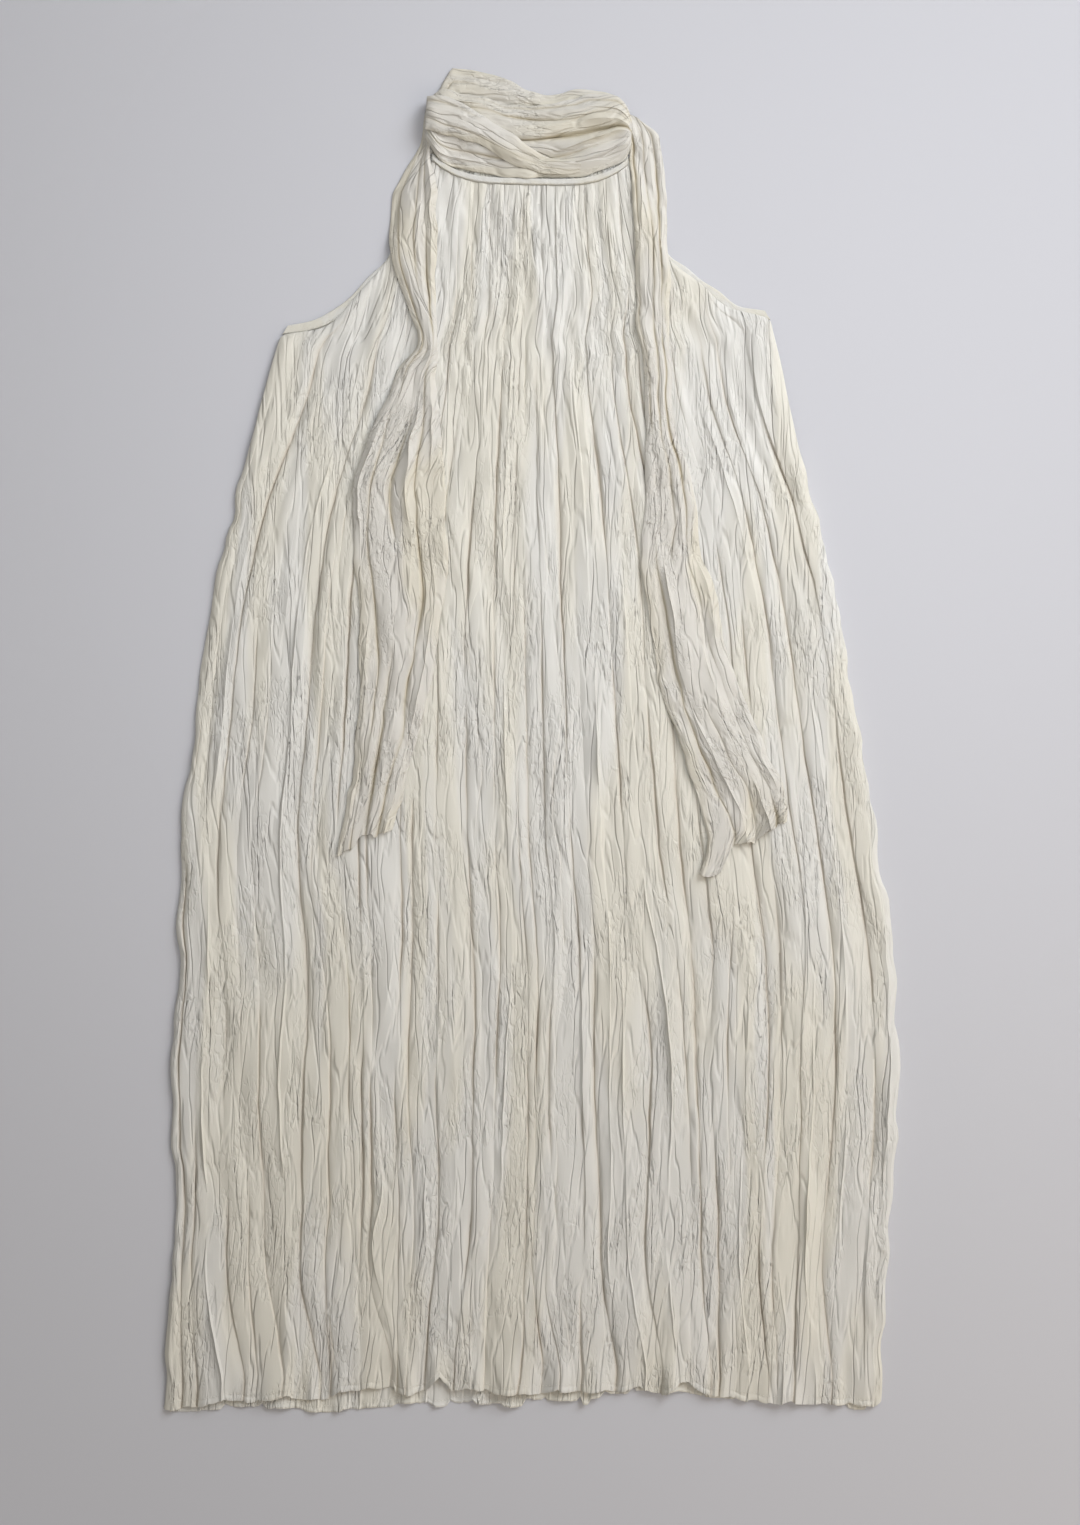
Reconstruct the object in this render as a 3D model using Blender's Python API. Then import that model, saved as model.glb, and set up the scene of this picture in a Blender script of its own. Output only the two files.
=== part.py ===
"""A long halter dress in crinkle-pleated ivory satin, laid flat on its back with its collar towards +Y.

The dress lies on the plane z = 0, with X to the right as seen from above and the origin under the
middle of the dress. The tables and the named sizes are in millimetres, and MM turns them into metres.

Each piece of cloth is a strip between two edges. A table gives both edges, a row for each section
across the strip, and loops raise pleats between them. A piece that lies on others takes its underside
from their upper faces.
"""

import math
from collections import namedtuple

import bmesh
import bpy
from mathutils import Vector
from mathutils.bvhtree import BVHTree

MM = 0.001

# Cloth
WALL = 1.7  # one crinkled layer
SEAM_GAP = 0.3  # between pieces that are sewn together
LAY_GAP = 0.4  # between a piece and the pleats that it lies on
STEEPEST = 0.3  # most height of a pleat, as a share of its width
WANDER = 0.18  # how far a pleat strays sideways, as a share of its width
WANDER_TURNS = (2.4, 0.8)  # radians of that straying from one pleat to the next, and from row to row
LOWEST_FOLD = 0.4  # height of a pleat where it nearly fades out, as a share of its full height
SWELL_TURNS = (1.9, 0.7)  # radians of that swelling and fading, in the same way
SHARP_CREASE = math.radians(60)
FLAT_CREST = ((0.35, 1.0), (0.65, 0.9))  # places across a pleat, and their share of its height
ROUND_CREST = ((0.5, 1.0),)

# Front and back panels
FRONT_PLEATS = 36
FRONT_FOLD = 5.0  # height of the front's tallest pleats
BACK_PLEATS = 24
BACK_WALL = 1.2  # the back panel between its pleats
BACK_FOLD = 1.4
BACK_TOP = BACK_WALL + BACK_FOLD
FRONT_BASE = BACK_TOP + SEAM_GAP
SIDE_ROLL = 5.0  # width of the front's side edge, which rolls down round the back panel
ROLLED_BASE = 0.4  # height of that edge over the ground
HEM_SCALLOP = 2.0  # how far a pleat's crest hangs past its valleys at the hem

# Bindings
ARMHOLE_BINDING = 9.0
ARMHOLE_BINDING_EDGE = 1.8
BINDING_RUN_ON = 7.0  # how far its inner edge runs on, so that it ends in line with the side seam
NECK_BINDING = 6.5
NECK_BINDING_STEPS = 24
NECK_BINDING_WALLS = (1.8, 3.1, 3.1, 1.8)
SAG_SQUARENESS = 4  # how square the sagging sections and the neckline are: 2 would be a plain arc

# Scarf
TAIL_PLEATS = 8
TAIL_FOLD = 3.0
TAIL_FULL_WIDTH = 95.0
TAIL_ARCH = 3.5  # how far a tail bunches up where it is narrow
LOOP_WALL = 2.6  # the loop behind the neck, which lies on the ground, between its folds
LOOP_FOLDS = 4
LOOP_FOLD = 3.4
WRAP_WALL = 2.4
UNDER_FOLDS = 5
OVER_FOLDS = 3
WRAP_FOLD = 3.0
WRAP_ARCH = 1.5

# Steps taken within each cell of a strip to find what lies under it
FINE_ACROSS = 8
FINE_ALONG = 16
ABOVE_ALL = 100.0

Section = namedtuple("Section", "left_x left_y right_x right_y sag", defaults=(0,))
Station = namedtuple("Station", "lower_x lower_y upper_x upper_y")
Hem = namedtuple("Hem", "x front_y back_y")
Column = namedtuple("Column", "across height width pleat")

# Outer edges of the garment from the collar to the underarms
ARMHOLES = (
    Section(-95, 556, 91, 556),
    Section(-119, 513, 111, 509),
    Section(-136, 459, 131, 460),
    Section(-156, 439, 147, 449),
    Section(-172, 421, 161, 437),
    Section(-188, 409, 177, 427),
    Section(-210, 398, 197, 412),
    Section(-231, 394, 221, 408),
)
UNDERARM = Section(-248, 357, 233, 357)

# Outer edges from the bust to the hem
SIDES = (
    Section(-256, 323, 243, 323),
    Section(-281, 228, 266, 228),
    Section(-307, 119, 293, 119),
    Section(-320, 10, 310, 10),
    Section(-334, -102, 329, -102),
    Section(-336, -220, 345, -220),
    Section(-343, -337, 348.5, -337),
    Section(-337, -443, 341, -443),
    Section(-344, -540, 336, -540),
    Section(-348.5, -631, 331, -629),
)

# The front panel above those rows, from the neckline to the underarms
FRONT_TOP = (
    Section(-94, 549, 91, 545, 21),
    Section(-112, 513, 107, 502, 14),
    Section(-133, 462, 130, 457, 6),
    Section(-163, 426, 161, 432, 12),
    Section(-199, 391, 187, 410, 20),
    Section(-237, 384, 226, 399, 31),
    Section(-243, 368, 230, 385, 30),
    Section(-250, 345, 237, 355, 16),
)

HEMS = (
    Hem(-348.5, -634, -635),
    Hem(-301, -626, -634),
    Hem(-262, -620, -632),
    Hem(-219, -624, -635.5),
    Hem(-134, -611, -631),
    Hem(-102, -617, -630),
    Hem(-89, -603, -631),
    Hem(-74, -615, -631),
    Hem(14, -612, -625),
    Hem(96, -608, -621),
    Hem(149, -607, -622),
    Hem(173, -618, -624),
    Hem(226, -626, -629),
    Hem(331, -628, -629),
)

LEFT_TAIL = (
    Section(-101, 597, -91, 589),
    Section(-107, 568, -97, 561),
    Section(-120, 542, -93, 540),
    Section(-132, 518, -88, 518),
    Section(-136, 481, -90, 481),
    Section(-128, 443, -91, 443),
    Section(-119, 415, -91, 415),
    Section(-107, 376, -90, 373),
    Section(-126, 352, -91, 348),
    Section(-138, 323, -87, 320),
    Section(-154, 283, -84, 281),
    Section(-170, 235, -81, 232),
    Section(-168, 177, -80, 177),
    Section(-162, 113, -87, 114),
    Section(-164, 37, -99, 39),
    Section(-168, -14, -112, -9),
    Section(-175, -61, -125, -59),
    Section(-183, -105, -131, -86),
)

RIGHT_TAIL = (
    Section(86, 597, 103, 589),
    Section(92, 570, 122, 572),
    Section(94, 547, 126, 540),
    Section(96, 509, 128, 497),
    Section(99, 466, 130, 459),
    Section(98, 433, 131, 428),
    Section(100, 395, 131, 389),
    Section(106, 347, 132, 352),
    Section(107, 300, 135, 300),
    Section(109, 255, 149, 259),
    Section(107, 205, 158, 210),
    Section(104, 171, 162, 176),
    Section(110, 124, 175, 133),
    Section(117, 73, 186, 81),
    Section(128, 30, 203, 33),
    Section(145, -18, 222, -10),
    Section(162, -71, 239, -42),
    Section(156, -128, 242, -75),
)

# The scarf round the neck, each table from the left end to the right
NECK_LOOP = (
    Station(-99, 557, -99, 600),
    Station(-89, 557, -89, 614),
    Station(-80, 557, -81, 628),
    Station(-72, 557, -74, 637.5),
    Station(-58, 557, -60, 637.5),
    Station(-38, 557, -38, 634),
    Station(-20, 557, -20, 627),
    Station(-4, 557, -4, 619),
    Station(14, 557, 14, 614),
    Station(30, 557, 30, 615),
    Station(48, 557, 48, 619),
    Station(66, 557, 66, 618),
    Station(80, 557, 80, 614),
    Station(88, 557, 88, 604),
    Station(94, 557, 94, 577),
)

UNDER_WRAP = (
    Station(-101, 568, -97, 609),
    Station(-87, 548, -84, 617),
    Station(-66, 541, -66, 614),
    Station(-46, 537, -46, 608),
    Station(-24, 534, -24, 602),
    Station(-2, 533, -2, 601),
    Station(20, 533, 20, 604),
    Station(42, 535, 42, 608),
    Station(62, 539, 62, 612),
    Station(78, 544, 79, 611),
    Station(89, 550, 90, 602),
    Station(94, 560, 95, 588),
)

OVER_WRAP = (
    Station(-101, 577, -99, 609),
    Station(-88, 571, -82, 608),
    Station(-70, 567, -60, 599),
    Station(-46, 562, -38, 585),
    Station(-20, 551, -18, 572),
    Station(-2, 544, -2, 562),
    Station(12, 541, 12, 554),
    Station(21, 542, 24, 551),
)

# Widths and heights of successive pleats, as shares of the mean width and the full height
PLEAT_WIDTHS = (1.0, 0.7, 1.35, 0.9, 1.15, 0.75, 1.25, 0.95, 0.8)
PLEAT_HEIGHTS = (1.0, 0.7, 0.95, 0.8, 1.0, 0.6, 0.9)


def pleat_columns(count, flat_crests):
    """Columns across a pleated strip: a valley and a crest for each pleat, or two where crests are flat."""
    widths = [PLEAT_WIDTHS[pleat % len(PLEAT_WIDTHS)] for pleat in range(count)]
    crests = FLAT_CREST if flat_crests else ROUND_CREST
    columns = [Column(0.0, 0.0, widths[0] / sum(widths), 0)]
    start = 0.0
    for pleat in range(count):
        width = widths[pleat] / sum(widths)
        height = PLEAT_HEIGHTS[pleat % len(PLEAT_HEIGHTS)]
        for place, share in crests:
            columns.append(Column(start + place * width, share * height, width, pleat))
        start += width
        columns.append(Column(start, 0.0, width, pleat))
    return columns


def place_across(column, row):
    """Where a column lies across its strip at a row, from 0 to 1, with its pleat's wander."""
    if column.across < column.width or column.across > 1 - column.width:
        return column.across
    turn = WANDER_TURNS[0] * column.pleat + WANDER_TURNS[1] * row
    return column.across + WANDER * column.width * math.sin(turn)


def fold_height(column, row, strip_width, tallest):
    """How high a column stands: less on narrow pleats, and uneven along each pleat."""
    swell = (1 + math.sin(SWELL_TURNS[0] * column.pleat + SWELL_TURNS[1] * row)) / 2
    unevenness = LOWEST_FOLD + (1 - LOWEST_FOLD) * swell
    return column.height * unevenness * min(tallest, STEEPEST * column.width * strip_width)


def point_between(row, across):
    """The point of a section or station at a share of the way from its first edge to its second."""
    first, second = Vector((row[0], row[1], 0.0)), Vector((row[2], row[3], 0.0))
    point = first.lerp(second, across)
    if isinstance(row, Section):
        point.y -= row.sag * (1 - abs(2 * across - 1) ** SAG_SQUARENESS)
    return point


def strip_width(row):
    """The straight distance between the two edges of a section or station."""
    return math.hypot(row[2] - row[0], row[3] - row[1])


def hem_height(x, column):
    """The hem's y at a place across the dress, read between the rows of HEMS."""
    for near, far in zip(HEMS, HEMS[1:]):
        if x <= far.x:
            share = max(0.0, (x - near.x) / (far.x - near.x))
            return getattr(near, column) + share * (getattr(far, column) - getattr(near, column))
    return getattr(HEMS[-1], column)


def inset(points, distance, side):
    """The points of an edge moved inwards. Side is 1 for a left edge and -1 for a right one."""
    moved = []
    for index, (x, y) in enumerate(points):
        before = Vector(points[max(index - 1, 0)])
        after = Vector(points[min(index + 1, len(points) - 1)])
        along = (after - before).normalized()
        moved.append((x - side * distance * along.y, y + side * distance * along.x))
    return moved


def inset_armholes(distance):
    """The armhole sections with both edges moved in towards the body."""
    left = inset([(row.left_x, row.left_y) for row in ARMHOLES], distance, 1)
    right = inset([(row.right_x, row.right_y) for row in ARMHOLES], distance, -1)
    return [Section(*a, *b) for a, b in zip(left, right)]


def satin(name, colour, roughness):
    """A cloth material of one colour."""
    material = bpy.data.materials.new(name)
    material.use_nodes = True
    shader = material.node_tree.nodes["Principled BSDF"]
    shader.inputs["Base Color"].default_value = (*colour, 1.0)
    shader.inputs["Roughness"].default_value = roughness
    shader.inputs["Metallic"].default_value = 0.0
    shader.inputs["Sheen Weight"].default_value = 0.2
    return material


def closed_wall(name, under, walls, material, collection, laid):
    """A closed wall on a grid of underside points. Its faces are kept in laid, for what lies on it."""
    columns = len(under[0])
    form = bmesh.new()
    bmesh.ops.create_grid(form, x_segments=columns - 1, y_segments=len(under) - 1, size=1.0)
    place = form.verts.layers.int.new("place")
    for vert in form.verts:
        vert[place] = vert.index
        vert.co = under[vert.index // columns][vert.index % columns] * MM
    bmesh.ops.triangulate(form, faces=form.faces[:])
    raised = bmesh.ops.extrude_face_region(form, geom=form.faces[:])["geom"]
    for vert in (item for item in raised if isinstance(item, bmesh.types.BMVert)):
        vert.co.z += walls[vert[place] // columns][vert[place] % columns] * MM
    bmesh.ops.recalc_face_normals(form, faces=form.faces[:])
    laid[name] = BVHTree.FromBMesh(form)
    mesh = bpy.data.meshes.new(name)
    form.to_mesh(mesh)
    form.free()
    mesh.shade_smooth()
    mesh.set_sharp_from_angle(angle=SHARP_CREASE)
    mesh.materials.append(material)
    collection.objects.link(bpy.data.objects.new(name, mesh))


def even_walls(under, wall):
    """One thickness for every point of a grid."""
    return [[wall] * len(points) for points in under]


def surface_height(x, y, laid):
    """The highest face of the laid pieces over a point of the ground, or the ground."""
    above = Vector((x, y, ABOVE_ALL)) * MM
    hits = [tree.ray_cast(above, Vector((0, 0, -1)))[0] for tree in laid.values()]
    return max([hit.z / MM for hit in hits if hit] + [0.0])


def support_heights(plan, laid):
    """For each point of a grid, the highest face under the cells that meet there."""
    rows, columns = len(plan), len(plan[0])
    fine = []
    for along in range((rows - 1) * FINE_ALONG + 1):
        row, share = min(along // FINE_ALONG, rows - 2), along / FINE_ALONG
        line = [a.lerp(b, share - row) for a, b in zip(plan[row], plan[row + 1])]
        fine.append([])
        for across in range((columns - 1) * FINE_ACROSS + 1):
            column = min(across // FINE_ACROSS, columns - 2)
            point = line[column].lerp(line[column + 1], across / FINE_ACROSS - column)
            fine[-1].append(surface_height(point.x, point.y, laid))
    heights = []
    for row in range(rows):
        near = fine[max(row - 1, 0) * FINE_ALONG : (row + 1) * FINE_ALONG + 1]
        heights.append([])
        for column in range(columns):
            first, last = max(column - 1, 0) * FINE_ACROSS, (column + 1) * FINE_ACROSS + 1
            heights[-1].append(max(max(line[first:last]) for line in near))
    return heights


def folded_plan(rows, columns, tallest):
    """A strip's grid seen from above, and how high its folds stand at each point."""
    plan, lifts = [], []
    for index, row in enumerate(rows):
        plan.append([point_between(row, place_across(column, index)) for column in columns])
        width = strip_width(row)
        lifts.append([fold_height(column, index, width, tallest) for column in columns])
    return plan, lifts


def arch(across, height):
    """A low arch over a strip's width, 0 at both edges."""
    return height * (1 - (2 * across - 1) ** 2)


def lay_on(plan, lifts, laid):
    """Underside points of a folded strip that lies on other pieces."""
    support = support_heights(plan, laid)
    return [
        [Vector((p.x, p.y, s + LAY_GAP + lift)) for p, s, lift in zip(points, heights, raised)]
        for points, heights, raised in zip(plan, support, lifts)
    ]


def make_back_panel(satin_cloth, collection, laid):
    """The back panel: flat on the ground, pleated above, and longer than the front."""
    inner = SIDE_ROLL + SEAM_GAP
    rows = inset_armholes(ARMHOLE_BINDING + SEAM_GAP)
    rows[0] = rows[0]._replace(left_y=ARMHOLES[0].left_y, right_y=ARMHOLES[0].right_y)
    for row in (UNDERARM, *SIDES):
        rows.append(row._replace(left_x=row.left_x + inner, right_x=row.right_x - inner))
    columns = pleat_columns(BACK_PLEATS, flat_crests=False)
    plan, lifts = folded_plan(rows, columns, BACK_FOLD)
    for point, column in zip(plan[-1], columns):
        point.y = hem_height(point.x, "back_y") - HEM_SCALLOP * column.height
    walls = [[BACK_WALL + lift for lift in raised] for raised in lifts]
    closed_wall("back_panel", plan, walls, satin_cloth, collection, laid)


def make_front_panel(satin_cloth, collection, laid):
    """The front panel: pleated from neckline to hem, its side edges rolled down to the ground."""
    rows = FRONT_TOP + SIDES
    first_rolled = len(FRONT_TOP) + 1
    columns = pleat_columns(FRONT_PLEATS, flat_crests=True)
    under = []
    for index, row in enumerate(rows):
        width = strip_width(row)
        roll = SIDE_ROLL / width
        edge_base = ROLLED_BASE if index >= first_rolled else FRONT_BASE
        points = []
        for column in columns:
            point = point_between(row, roll + place_across(column, index) * (1 - 2 * roll))
            point.z = FRONT_BASE + fold_height(column, index, width, FRONT_FOLD)
            if row is rows[-1]:
                point.y = hem_height(point.x, "front_y") - HEM_SCALLOP * column.height
            points.append(point)
        left, right = point_between(row, 0.0), point_between(row, 1.0)
        left.z = right.z = edge_base
        under.append([left, *points, right])
    closed_wall("front_panel", under, even_walls(under, WALL), satin_cloth, collection, laid)


def make_armhole_bindings(binding_cloth, collection, laid):
    """The flat bindings along both armholes, in line with the back panel."""
    inner = inset_armholes(ARMHOLE_BINDING)
    walls = [[ARMHOLE_BINDING_EDGE, BACK_TOP, ARMHOLE_BINDING_EDGE]] * len(ARMHOLES)
    for side, outwards in (("left", -1), ("right", 1)):
        plan = []
        for outer_row, inner_row in zip(ARMHOLES, inner):
            outer = Vector((getattr(outer_row, side + "_x"), getattr(outer_row, side + "_y"), 0.0))
            edge = Vector((getattr(inner_row, side + "_x"), getattr(inner_row, side + "_y"), 0.0))
            if outer_row is ARMHOLES[0]:
                edge.y = outer.y
            if outer_row is ARMHOLES[-1]:
                edge.x += outwards * BINDING_RUN_ON
            plan.append([outer, outer.lerp(edge, 0.5), edge])
        closed_wall("armhole_binding_" + side, plan, walls, binding_cloth, collection, laid)


def make_neck_binding(binding_cloth, collection, laid):
    """The narrow rounded binding just above the front's neckline."""
    neckline = FRONT_TOP[0]
    under = []
    for step in range(NECK_BINDING_STEPS + 1):
        edge = point_between(neckline, step / NECK_BINDING_STEPS)
        across = len(NECK_BINDING_WALLS) - 1
        rise = [SEAM_GAP + NECK_BINDING * place / across for place in range(across + 1)]
        under.append([edge + Vector((0.0, up, FRONT_BASE)) for up in rise])
    walls = [list(NECK_BINDING_WALLS) for points in under]
    closed_wall("neck_binding", under, walls, binding_cloth, collection, laid)


def make_neck_loop(satin_cloth, collection, laid):
    """The stretch of scarf behind the neck, flat on the ground with folds along it."""
    columns = pleat_columns(LOOP_FOLDS, flat_crests=False)
    plan, lifts = folded_plan(NECK_LOOP, columns, LOOP_FOLD)
    walls = [[LOOP_WALL + lift for lift in raised] for raised in lifts]
    closed_wall("scarf_back", plan, walls, satin_cloth, collection, laid)


def make_tail(name, sections, satin_cloth, collection, laid):
    """A scarf tail down the front, bunched up where it is narrow."""
    columns = pleat_columns(TAIL_PLEATS, flat_crests=False)
    plan, lifts = folded_plan(sections, columns, TAIL_FOLD)
    for row, raised in zip(sections, lifts):
        bunching = max(0.0, 1 - strip_width(row) / TAIL_FULL_WIDTH)
        for index, column in enumerate(columns):
            raised[index] += arch(column.across, TAIL_ARCH * bunching)
    under = lay_on(plan, lifts, laid)
    closed_wall(name, under, even_walls(under, WALL), satin_cloth, collection, laid)


def make_wrap(name, stations, folds, satin_cloth, collection, laid):
    """A stretch of scarf across the front of the neck, with folds along it."""
    columns = pleat_columns(folds, flat_crests=False)
    plan, lifts = folded_plan(stations, columns, WRAP_FOLD)
    for raised in lifts:
        for index, column in enumerate(columns):
            raised[index] += arch(column.across, WRAP_ARCH)
    under = lay_on(plan, lifts, laid)
    closed_wall(name, under, even_walls(under, WRAP_WALL), satin_cloth, collection, laid)


def main():
    """Make the dress from the ground up, so that each piece finds what it lies on."""
    for item in list(bpy.data.objects):
        bpy.data.objects.remove(item)
    collection = bpy.data.collections.new("halter dress")
    bpy.context.scene.collection.children.link(collection)
    ivory, cream = (0.76, 0.74, 0.67), (0.72, 0.70, 0.63)
    laid = {}
    make_back_panel(satin("back satin", ivory, 0.45), collection, laid)
    make_armhole_bindings(satin("armhole binding satin", cream, 0.4), collection, laid)
    make_neck_loop(satin("neck loop satin", ivory, 0.45), collection, laid)
    make_front_panel(satin("front satin", ivory, 0.45), collection, laid)
    make_neck_binding(satin("neck binding satin", cream, 0.4), collection, laid)
    make_tail("scarf_tail_left", LEFT_TAIL, satin("left tail satin", ivory, 0.45), collection, laid)
    make_tail("scarf_tail_right", RIGHT_TAIL, satin("right tail satin", ivory, 0.45), collection, laid)
    under_satin = satin("under wrap satin", ivory, 0.45)
    make_wrap("scarf_front_under", UNDER_WRAP, UNDER_FOLDS, under_satin, collection, laid)
    over_satin = satin("over wrap satin", ivory, 0.45)
    make_wrap("scarf_front_over", OVER_WRAP, OVER_FOLDS, over_satin, collection, laid)


main()
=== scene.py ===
"""Looks of a long halter dress in crinkle-pleated ivory satin, laid flat on its back.

The tables and named sizes are in millimetres, and MM turns them into the frame's metres: x runs
to the right, y towards the collar and z up off the floor. Every piece of cloth is a thin sheet
between two edges. Its mesh lines follow its creases: a table places the main ones, finer
ones run between them, and each swells and fades along its length.
"""

import logging
import math
from dataclasses import dataclass, field
from enum import Enum
from typing import Any, NamedTuple, Protocol, Sequence

import bpy
import numpy as np
from mathutils import Matrix, Vector
from mathutils.bvhtree import BVHTree


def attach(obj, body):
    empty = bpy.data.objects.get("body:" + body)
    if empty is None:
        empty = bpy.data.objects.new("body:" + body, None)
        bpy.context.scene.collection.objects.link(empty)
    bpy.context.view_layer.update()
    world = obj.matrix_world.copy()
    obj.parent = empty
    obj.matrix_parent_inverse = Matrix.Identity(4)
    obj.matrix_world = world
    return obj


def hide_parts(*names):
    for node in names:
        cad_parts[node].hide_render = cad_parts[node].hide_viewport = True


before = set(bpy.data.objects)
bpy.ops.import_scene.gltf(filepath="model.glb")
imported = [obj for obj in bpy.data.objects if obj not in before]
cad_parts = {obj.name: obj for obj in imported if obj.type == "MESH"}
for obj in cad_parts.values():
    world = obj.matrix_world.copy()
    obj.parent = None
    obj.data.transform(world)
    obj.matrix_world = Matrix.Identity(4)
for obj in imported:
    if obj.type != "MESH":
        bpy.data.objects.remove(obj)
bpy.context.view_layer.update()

log = logging.getLogger("halter dress")

MM = 0.001
BODY = "root"
CLOTH_THICKNESS = 0.5
SHARP_CREASE = math.radians(18)  # the angle from which a crease shows as an edge
REACH_FADE = 45.0  # half the distance in which a main crease starts or ends
NOTCH_WIDTH = 4.5  # hem corners closer together than this are the two sides of a notch
LONG_ROLL = 20.0  # a roll longer than this slopes away instead of curling under
AT_CREASE = 0.06  # columns with a smaller fraction of the way to the next crease lie on one
PUFF_SLOPE = 2.4
PUFF_ROUNDNESS = 0.02
LOOKOUT = 200.0  # a height above all of the cloth
FAR_APART = 400.0  # places of one pattern this far apart look unlike each other
CLOTH_MAP = "Cloth"
FOLD_SHADE_DEPTH = "fold"
SMOOTH_STEP = {"interpolation_type": "SMOOTHSTEP"}
SIDE_COLUMNS = {"left": slice(0, 2), "right": slice(2, 4)}  # of a table of sections


class Section(NamedTuple):
    """Both edges of a strip of cloth at one place along it, and how far its middle sags."""

    first_x: float
    first_y: float
    second_x: float
    second_y: float
    sag: float = 0.0


def section_table(*rows: tuple[float, ...]) -> tuple[Section, ...]:
    """Turn rows of numbers into sections."""
    return tuple(Section(*row) for row in rows)


class Reach(Enum):
    """The stretch of the front where a crease shows, as its lowest and highest y."""

    HEM = (-700, -380)
    LOWER = (-700, -230)
    MIDDLE = (-470, 60)
    LOWER_AND_MIDDLE = (-700, 120)
    MIDDLE_AND_UPPER = (-420, 700)
    WHOLE = (-900, 900)


class Crease(NamedTuple):
    """A main crease of the front: its x at CREASE_LEVELS, its height and its step to the right."""

    hem: float
    low: float
    knee: float
    waist: float
    height: float
    step: float
    reach: Reach


class Slant(NamedTuple):
    """A soft trough that slants across the front's creases, with a ridge along its right side."""

    top_x: float
    top_y: float
    low_x: float
    low_y: float
    depth: float
    width: float


class Fold(NamedTuple):
    """A main fold of a scarf piece: its shares across at the piece's levels, height and step."""

    shares: tuple[float, ...]
    height: float
    step: float = 0.0


# Outer edges of the garment from the collar to the underarms
ARMHOLES = section_table(
    (-95, 556, 91, 556), (-119, 513, 111, 509), (-136, 459, 131, 460), (-156, 439, 147, 449),
    (-172, 421, 161, 437), (-188, 409, 177, 427), (-210, 398, 197, 412), (-231, 394, 221, 408),
)
UNDERARM = Section(-248, 357, 233, 357)

# Outer edges from the bust to the hem
SIDES = section_table(
    (-256, 323, 243, 323), (-281, 228, 266, 228), (-307, 119, 293, 119), (-320, 10, 310, 10),
    (-334, -102, 329, -102), (-336, -220, 345, -220), (-343, -337, 348.5, -337),
    (-337, -443, 341, -443), (-344, -540, 336, -540), (-348.5, -631, 331, -629),
)

# The front panel above those rows, from the neckline to the underarms
FRONT_TOP = section_table(
    (-94, 549, 91, 545, 21), (-112, 513, 107, 502, 14), (-133, 462, 130, 457, 6),
    (-163, 426, 161, 432, 12), (-199, 391, 187, 410, 20), (-237, 384, 226, 399, 31),
    (-243, 368, 230, 385, 30), (-250, 345, 237, 355, 16),
)

# The front's hem from left to right, x and y wherever one of its folds ends
FRONT_HEM = (
    (-348.5, -634), (-326, -631.5), (-306, -628.5), (-293, -625), (-277, -625), (-259, -626),
    (-233, -621), (-209, -626), (-199, -625), (-181, -616.5), (-154, -613.5), (-133, -612.5),
    (-129, -618), (-101, -617), (-93, -607), (-87, -601), (-78, -613.5), (-73, -617),
    (-61, -613.5), (-43, -615.5), (-29, -619), (-9, -616.5), (3, -619), (25, -615.5),
    (49, -615.5), (69, -613.5), (89, -616.5), (101, -611.5), (109, -617), (128, -618),
    (135, -613.5), (141, -606), (148, -607), (165, -619), (188, -621), (213, -625),
    (226, -628), (244, -626), (277, -628.5), (302, -628.5), (318, -632), (331, -629),
)

# The back's hem hangs below it in tabs
BACK_HEM = (
    (-348.5, -637), (-293, -634.5), (-290, -631.5), (-259, -631.5), (-255, -633.5),
    (-219, -633.5), (-217, -637), (-179, -637), (-177, -634.5), (-133, -632.5), (-131, -628.5),
    (-97, -628.5), (-95, -632), (-78, -631.5), (-75, -628.5), (-57, -628.5), (-53, -629.5),
    (-30, -629.5), (-27, -632), (-9, -632), (-5, -625), (12, -625), (15, -626), (45, -625.5),
    (47, -628.5), (54, -628.5), (56, -624), (69, -621), (71, -619.5), (93, -619.5), (97, -617),
    (141, -617), (160, -622), (213, -625), (296, -628), (302, -635.5), (318, -635.5),
    (320, -630), (331, -629),
)

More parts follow.
